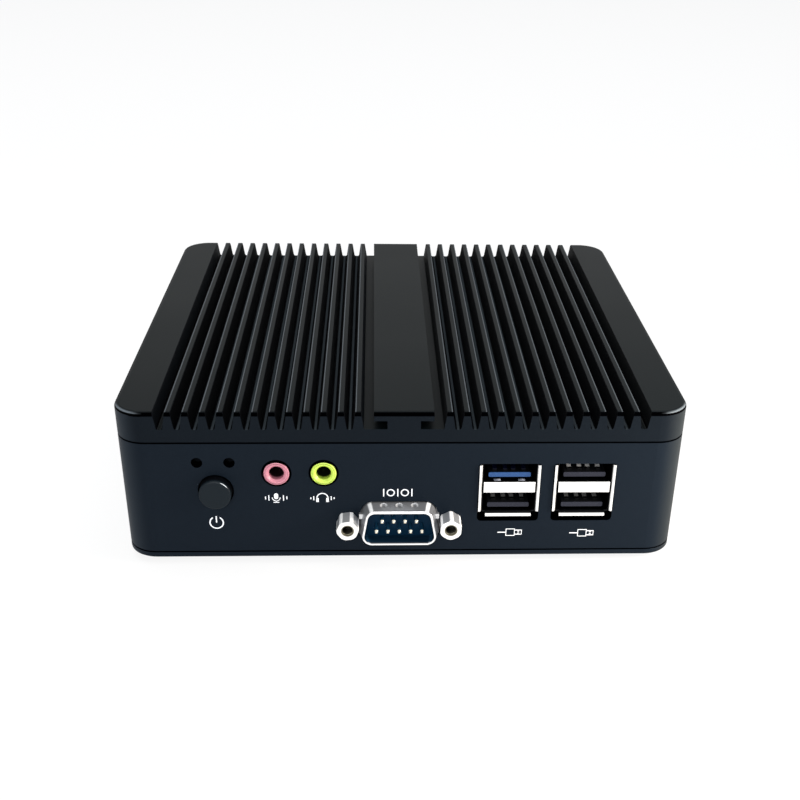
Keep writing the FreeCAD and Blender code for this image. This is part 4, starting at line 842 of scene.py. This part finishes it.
printLook = {
    "thickness": 0.02, "sunk": 0.01, "stroke": 0.31,
    "power": (-45.35, 11.95), "powerRadius": 1.61, "powerGap": 62,
    "microphone": (-30.65, 18.8), "headphones": (-19.55, 18.85), "serial": (-1.4, 20.1),
    "dataPort": ((26.3, 8.7), (44.2, 8.4)),
}


def printPowerMark():
    mesh = bmesh.new()
    radius = printLook["powerRadius"]
    gap = printLook["powerGap"] / 2
    stripMesh(mesh, arcPoints((0, 0), radius, 90 + gap, 450 - gap, 40), printLook["stroke"])
    stripMesh(mesh, [(0, 0.0), (0, radius + 0.2)], printLook["stroke"])
    finishPrint(mesh, "powerMark", printLook["power"])


def printMicrophoneMark():
    # a capsule in its yoke on a stand, with two sound strokes each side
    mesh = bmesh.new()
    stroke = printLook["stroke"] * 0.8
    capsule = arcPoints((0, 0.75), 0.5, 0, 180, 12) + arcPoints((0, 0.15), 0.5, 180, 360, 12)
    mesh.faces.new([mesh.verts.new((x, 0, z)) for x, z in capsule])
    stripMesh(mesh, arcPoints((0, 0.1), 0.95, 180, 360, 20), stroke * 0.8)
    stripMesh(mesh, [(0, -0.8), (0, -1.2)], stroke)
    stripMesh(mesh, [(-0.7, -1.25), (0.7, -1.25)], stroke * 0.8)
    for side in (-1, 1):
        for away, tall in ((1.75, 0.75), (2.55, 0.4)):
            stripMesh(mesh, [(side * away, -tall), (side * away, tall)], stroke)
    finishPrint(mesh, "microphoneMark", printLook["microphone"])


def printHeadphoneMark():
    # a head band with two ear cups, and a sound stroke each side
    mesh = bmesh.new()
    stroke = printLook["stroke"] * 0.8
    stripMesh(mesh, arcPoints((0, -0.2), 1.35, 0, 180, 28), stroke)
    for side in (-1, 1):
        stripMesh(mesh, [(side * 1.2, -1.25), (side * 1.2, -0.15)], 0.62)
        stripMesh(mesh, [(side * 2.1, -0.75), (side * 2.1, 0.35)], stroke)
        stripMesh(mesh, [(side * 2.8, -0.45), (side * 2.8, 0.05)], stroke)
    finishPrint(mesh, "headphoneMark", printLook["headphones"])


def printSerialMark():
    # bars and rings in turn, the usual sign for a serial line
    mesh = bmesh.new()
    stroke = printLook["stroke"] * 0.9
    for x in (-3.4, 0, 3.4):
        stripMesh(mesh, [(x, -1.05), (x, 1.05)], stroke)
    for x in (-1.7, 1.7):
        stripMesh(mesh, arcPoints((x, 0), 0.85, 0, 360, 32)[:-1], stroke, closed=True)
    finishPrint(mesh, "serialMark", printLook["serial"])


def printDataPortMark(number, place):
    # a lead that ends in a plug, with the two windows in the plug's nose
    mesh = bmesh.new()
    stroke = printLook["stroke"] * 0.75
    stripMesh(mesh, [(-3.0, 0), (-1.0, 0)], stroke)
    stripMesh(mesh, boxOutline((0.15, 0), 2.1, 1.9), stroke, closed=True)
    stripMesh(mesh, [(1.35, 0.6), (2.95, 0.6), (2.95, -0.6), (1.35, -0.6)], stroke)
    for z in (-0.27, 0.27):
        mesh.faces.new([mesh.verts.new((x, 0, y)) for x, y in boxOutline((2.15, z), 0.45, 0.22)])
    finishPrint(mesh, "dataPortMark_%d" % number, place)


printPowerMark()
printMicrophoneMark()
printHeadphoneMark()
printSerialMark()
for markNumber, markPlace in enumerate(printLook["dataPort"]):
    printDataPortMark(markNumber + 1, markPlace)
print("panel print: 6 marks")


# ---- geometry node trees for what repeats

def startTree(name, labels):
    # a number goes in for each label, and the material last
    tree = bpy.data.node_groups.new(name, "GeometryNodeTree")
    tree.interface.new_socket("Geometry", in_out="INPUT", socket_type="NodeSocketGeometry")
    tree.interface.new_socket("Geometry", in_out="OUTPUT", socket_type="NodeSocketGeometry")
    identifiers = {}
    for label in labels + ("Material",):
        kind = "NodeSocketMaterial" if label == "Material" else "NodeSocketFloat"
        identifiers[label] = tree.interface.new_socket(label, in_out="INPUT", socket_type=kind).identifier
    start = tree.nodes.new("NodeGroupInput").outputs
    return tree, identifiers, start, tree.nodes.new("NodeGroupOutput")


def sweepAlong(tree, curve, section):
    sweep = addNode(tree, "GeometryNodeCurveToMesh")
    feedAll(tree, sweep, {"Curve": curve, "Profile Curve": section, "Fill Caps": True})
    return sweep.outputs["Mesh"]


def finishTree(tree, start, end, shape):
    # a copy of the shape on every point, made real and given its material
    scatter = addNode(tree, "GeometryNodeInstanceOnPoints")
    feedAll(tree, scatter, {"Points": start["Geometry"], "Instance": shape})
    real = addNode(tree, "GeometryNodeRealizeInstances")
    feed(tree, real.inputs["Geometry"], scatter.outputs["Instances"])
    paint = addNode(tree, "GeometryNodeSetMaterial")
    feedAll(tree, paint, {"Geometry": real.outputs["Geometry"], "Material": start["Material"]})
    feed(tree, end.inputs["Geometry"], paint.outputs["Geometry"])


def growPiece(name, points, tree, identifiers, values):
    # runs the tree on loose points and keeps the result as a plain mesh that rides on the case
    loose = bpy.data.meshes.new(name + "Points")
    loose.from_pydata([tuple(point) for point in points], [], [])
    source = addObject(name + "Points", loose)
    modifier = source.modifiers.new("grow", "NODES")
    modifier.node_group = tree
    for label, value in values.items():
        modifier[identifiers[label]] = value
    grown = source.evaluated_get(bpy.context.evaluated_depsgraph_get())
    data = bpy.data.meshes.new_from_object(grown)
    data.name = name
    bpy.data.objects.remove(source)
    piece = addObject(name, data)
    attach(piece, "case")


def buildThreadTree():
    # one V thread wound along Y at each point, from the point towards the end that it is turned to
    tree, identifiers, start, end = startTree(
        "threadTurns", ("Radius", "Length", "Turns", "Depth", "Turn To Y"))
    spiral = addNode(tree, "GeometryNodeCurveSpiral")
    feedAll(tree, spiral, {
        "Resolution": 28, "Start Radius": start["Radius"], "End Radius": start["Radius"],
        "Height": start["Length"], "Rotations": start["Turns"]})
    ridge = addNode(tree, "GeometryNodeCurvePrimitiveCircle")
    feedAll(tree, ridge, {"Resolution": 4, "Radius": start["Depth"]})
    tip = addNode(tree, "ShaderNodeCombineXYZ")
    feed(tree, tip.inputs["X"], start["Turn To Y"])
    lay = addNode(tree, "GeometryNodeTransform")
    feedAll(tree, lay, {"Geometry": sweepAlong(tree, spiral.outputs["Curve"], ridge.outputs["Curve"]),
                        "Rotation": tip.outputs["Vector"]})
    finishTree(tree, start, end, lay.outputs["Geometry"])
    return tree, identifiers


threadLook = {
    "jackscrewRadius": 1.4, "jackscrewPitch": 0.635, "jackscrewLength": 3.7,
    "nutRadius": 1.65, "nutPitch": 0.7, "nutInset": 0.2, "depth": 0.17,
}


def buildThreads():
    tree, identifiers = buildThreadTree()

    def grow(name, points, radius, length, pitch, turnToY, finish):
        growPiece(name, points, tree, identifiers, {
            "Radius": radius * mm, "Length": length, "Turns": length / (pitch * mm),
            "Depth": threadLook["depth"] * mm, "Turn To Y": turnToY, "Material": finishes[finish]})

    for side, outward in (("front", -1), ("rear", 1)):
        low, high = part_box(side + "_serial_jackscrews")
        mouth = (low.y if outward < 0 else high.y) - outward * threadLook["depth"] * mm
        middle, reach, height = pairOfScrews(side + "_serial_screws")
        points = [Vector((middle + step * reach, mouth, height)) for step in (-1, 1)]
        grow(side + "JackscrewThreads", points, threadLook["jackscrewRadius"],
             threadLook["jackscrewLength"] * mm, threadLook["jackscrewPitch"], outward * math.pi / 2,
             "threadSteel")
    low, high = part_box("mounting_nuts")
    spacing = findMount("wall_mount_nuts")["dims"]
    reach = (spacing["spacing_x_mm"] * mm / 2, spacing["spacing_y_mm"] * mm / 2)
    inset = threadLook["nutInset"] * mm
    points = [Vector((x * reach[0], y * reach[1], low.z + inset)) for x in (-1, 1) for y in (-1, 1)]
    grow("mountingNutThreads", points, threadLook["nutRadius"], high.z - low.z - 2 * inset,
         threadLook["nutPitch"], 0.0, "zincSteel")


def buildLeafTree():
    # a strip bowed upward along Y at each point
    tree, identifiers, start, end = startTree("bowedLeaves", ("Width", "Length", "Rise", "Thickness"))
    bow = addNode(tree, "GeometryNodeCurveQuadraticBezier")
    bow.inputs["Resolution"].default_value = 12
    half = times(tree, start["Length"], 0.5)
    for label, along, up in (("Start", times(tree, half, -1.0), None),
                             ("Middle", None, start["Rise"]), ("End", half, None)):
        point = addNode(tree, "ShaderNodeCombineXYZ")
        feedAll(tree, point, {"Y": along, "Z": up})
        feed(tree, bow.inputs[label], point.outputs["Vector"])
    section = addNode(tree, "GeometryNodeCurvePrimitiveQuadrilateral")
    feedAll(tree, section, {"Width": start["Width"], "Height": start["Thickness"]})
    finishTree(tree, start, end, sweepAlong(tree, bow.outputs["Curve"], section.outputs["Curve"]))
    return tree, identifiers


leafLook = {
    "width": 1.6, "length": 0.9, "rise": 0.16, "thickness": 0.1,
    "reach": 2.95, "depth": 1.3, "lift": 0.04,  # from the middle of the port, from its mouth, off its floor
}


def buildLeaves():
    # the two springs on the floor of the blue port
    tree, identifiers = buildLeafTree()
    low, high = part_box("left_port_shell")
    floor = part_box("port_middle_shields")[1].z
    middle = (low.x + high.x) / 2
    points = [Vector((middle + side * leafLook["reach"] * mm, low.y + leafLook["depth"] * mm,
                      floor + leafLook["lift"] * mm)) for side in (-1, 1)]
    values = {label: leafLook[label.lower()] * mm for label in ("Width", "Length", "Rise", "Thickness")}
    growPiece("bluePortLeaves", points, tree, identifiers,
              {**values, "Material": finishes["leafSteel"]})


buildThreads()
print("threads: 8 holes")
buildLeaves()
print("leaves: 2")


# ---- studio

studio = {
    "floorSize": 6.0, "floorColour": (0.95, 0.95, 0.95, 1), "floorRough": 0.9,
    "backdrop": 1.0, "clean": 0.86,  # strength of the white backdrop, and how much of it the floor shows
    "world": (0.84, 0.91, 1.0, 1), "worldLight": 0.4,
    "lamps": {
        "topLamp": {"place": (0.0, 0.1, 1.1), "aim": (0, 0, 0.03), "size": (1.2, 1.0), "power": 10.0},
        "frontLamp": {"place": (-0.1, -1.1, 0.55), "aim": (0, 0, 0.02), "size": (0.8, 0.6), "power": 9.0},
        "rightLamp": {"place": (0.135, -0.1, 0.06), "aim": (0.06, -0.064, 0.02), "size": (0.04, 0.05),
                      "power": 0.28, "colour": (1.0, 0.9, 0.8)},
    },
}


white = (1, 1, 1, 1)


def seenDirectly(tree):
    # 1 for rays from the camera, and for those seen in metal and glass
    path = addNode(tree, "ShaderNodeLightPath").outputs
    first = larger(tree, path["Is Camera Ray"], path["Is Glossy Ray"])
    return larger(tree, first, path["Is Transmission Ray"])


def mixShaders(tree, share, first, second):
    choose = addNode(tree, "ShaderNodeMixShader")
    for index, part in enumerate((share, first.outputs[0], second.outputs[0])):
        feed(tree, choose.inputs[index], part)
    return choose.outputs[0]


def buildWorld():
    world = bpy.data.worlds.new("studioWorld")
    world.use_nodes = True
    bpy.context.scene.world = world
    tree = world.node_tree
    tree.nodes.clear()
    light = addNode(tree, "ShaderNodeBackground")
    feedAll(tree, light, {"Color": studio["world"], "Strength": studio["worldLight"]})
    backdrop = addNode(tree, "ShaderNodeBackground")
    feedAll(tree, backdrop, {"Color": white, "Strength": studio["backdrop"]})
    output = addNode(tree, "ShaderNodeOutputWorld")
    feed(tree, output.inputs["Surface"], mixShaders(tree, seenDirectly(tree), light, backdrop))


def buildFloor():
    half = studio["floorSize"] / 2
    data = bpy.data.meshes.new("studioFloor")
    data.from_pydata([(-half, -half, 0), (half, -half, 0), (half, half, 0), (-half, half, 0)], [],
                     [(0, 1, 2, 3)])
    floor = addObject("studioFloor", data)
    material, tree, shader = startMaterial("studioFloor")
    feedAll(tree, shader, {"Base Color": studio["floorColour"], "Roughness": studio["floorRough"]})
    glow = addNode(tree, "ShaderNodeEmission")
    glow.inputs["Color"].default_value = white
    share = times(tree, seenDirectly(tree), studio["clean"])
    feed(tree, tree.nodes["Material Output"].inputs["Surface"], mixShaders(tree, share, shader, glow))
    data.materials.append(material)


def buildLamps():
    for name, lamp in studio["lamps"].items():
        light = bpy.data.lights.new(name, "AREA")
        light.shape = "RECTANGLE"
        light.size, light.size_y = lamp["size"]
        light.energy = lamp["power"]
        light.color = lamp.get("colour", (1, 1, 1))
        fixture = addObject(name, light)
        place = Vector(lamp["place"])
        fixture.location = place
        fixture.rotation_euler = (Vector(lamp["aim"]) - place).to_track_quat("-Z", "Y").to_euler()


buildWorld()
buildFloor()
buildLamps()
print("studio ready")


# ---- camera

cameraLook = {
    "place": (-6.55, -301.88, 156.92),                # millimetres
    "turn": 3.17, "tip": 29.483, "lean": -1.338,      # degrees
    "lens": 51.159, "shift": (-0.039, 0.1061), "sensor": 36,
    "clip": (0.01, 20),  # metres
}


def buildCamera():
    tip = math.radians(cameraLook["tip"])
    level = Matrix(((1, 0, 0), (0, math.sin(tip), math.cos(tip)), (0, math.cos(tip), -math.sin(tip))))
    turn = Matrix.Rotation(math.radians(cameraLook["turn"]), 3, "Z")
    lean = Matrix.Rotation(math.radians(cameraLook["lean"]), 3, "Z")
    right, up, forward = lean @ level @ turn
    data = bpy.data.cameras.new("studioCamera")
    data.lens = cameraLook["lens"]
    data.sensor_width = cameraLook["sensor"]
    data.shift_x, data.shift_y = cameraLook["shift"]
    data.clip_start, data.clip_end = cameraLook["clip"]
    camera = addObject("studioCamera", data)
    camera.matrix_world = Matrix.Translation(Vector(cameraLook["place"]) * mm) @ Matrix(
        (right, up, -forward)).transposed().to_4x4()
    bpy.context.scene.camera = camera


buildCamera()
bpy.context.scene.view_settings.view_transform = "Standard"
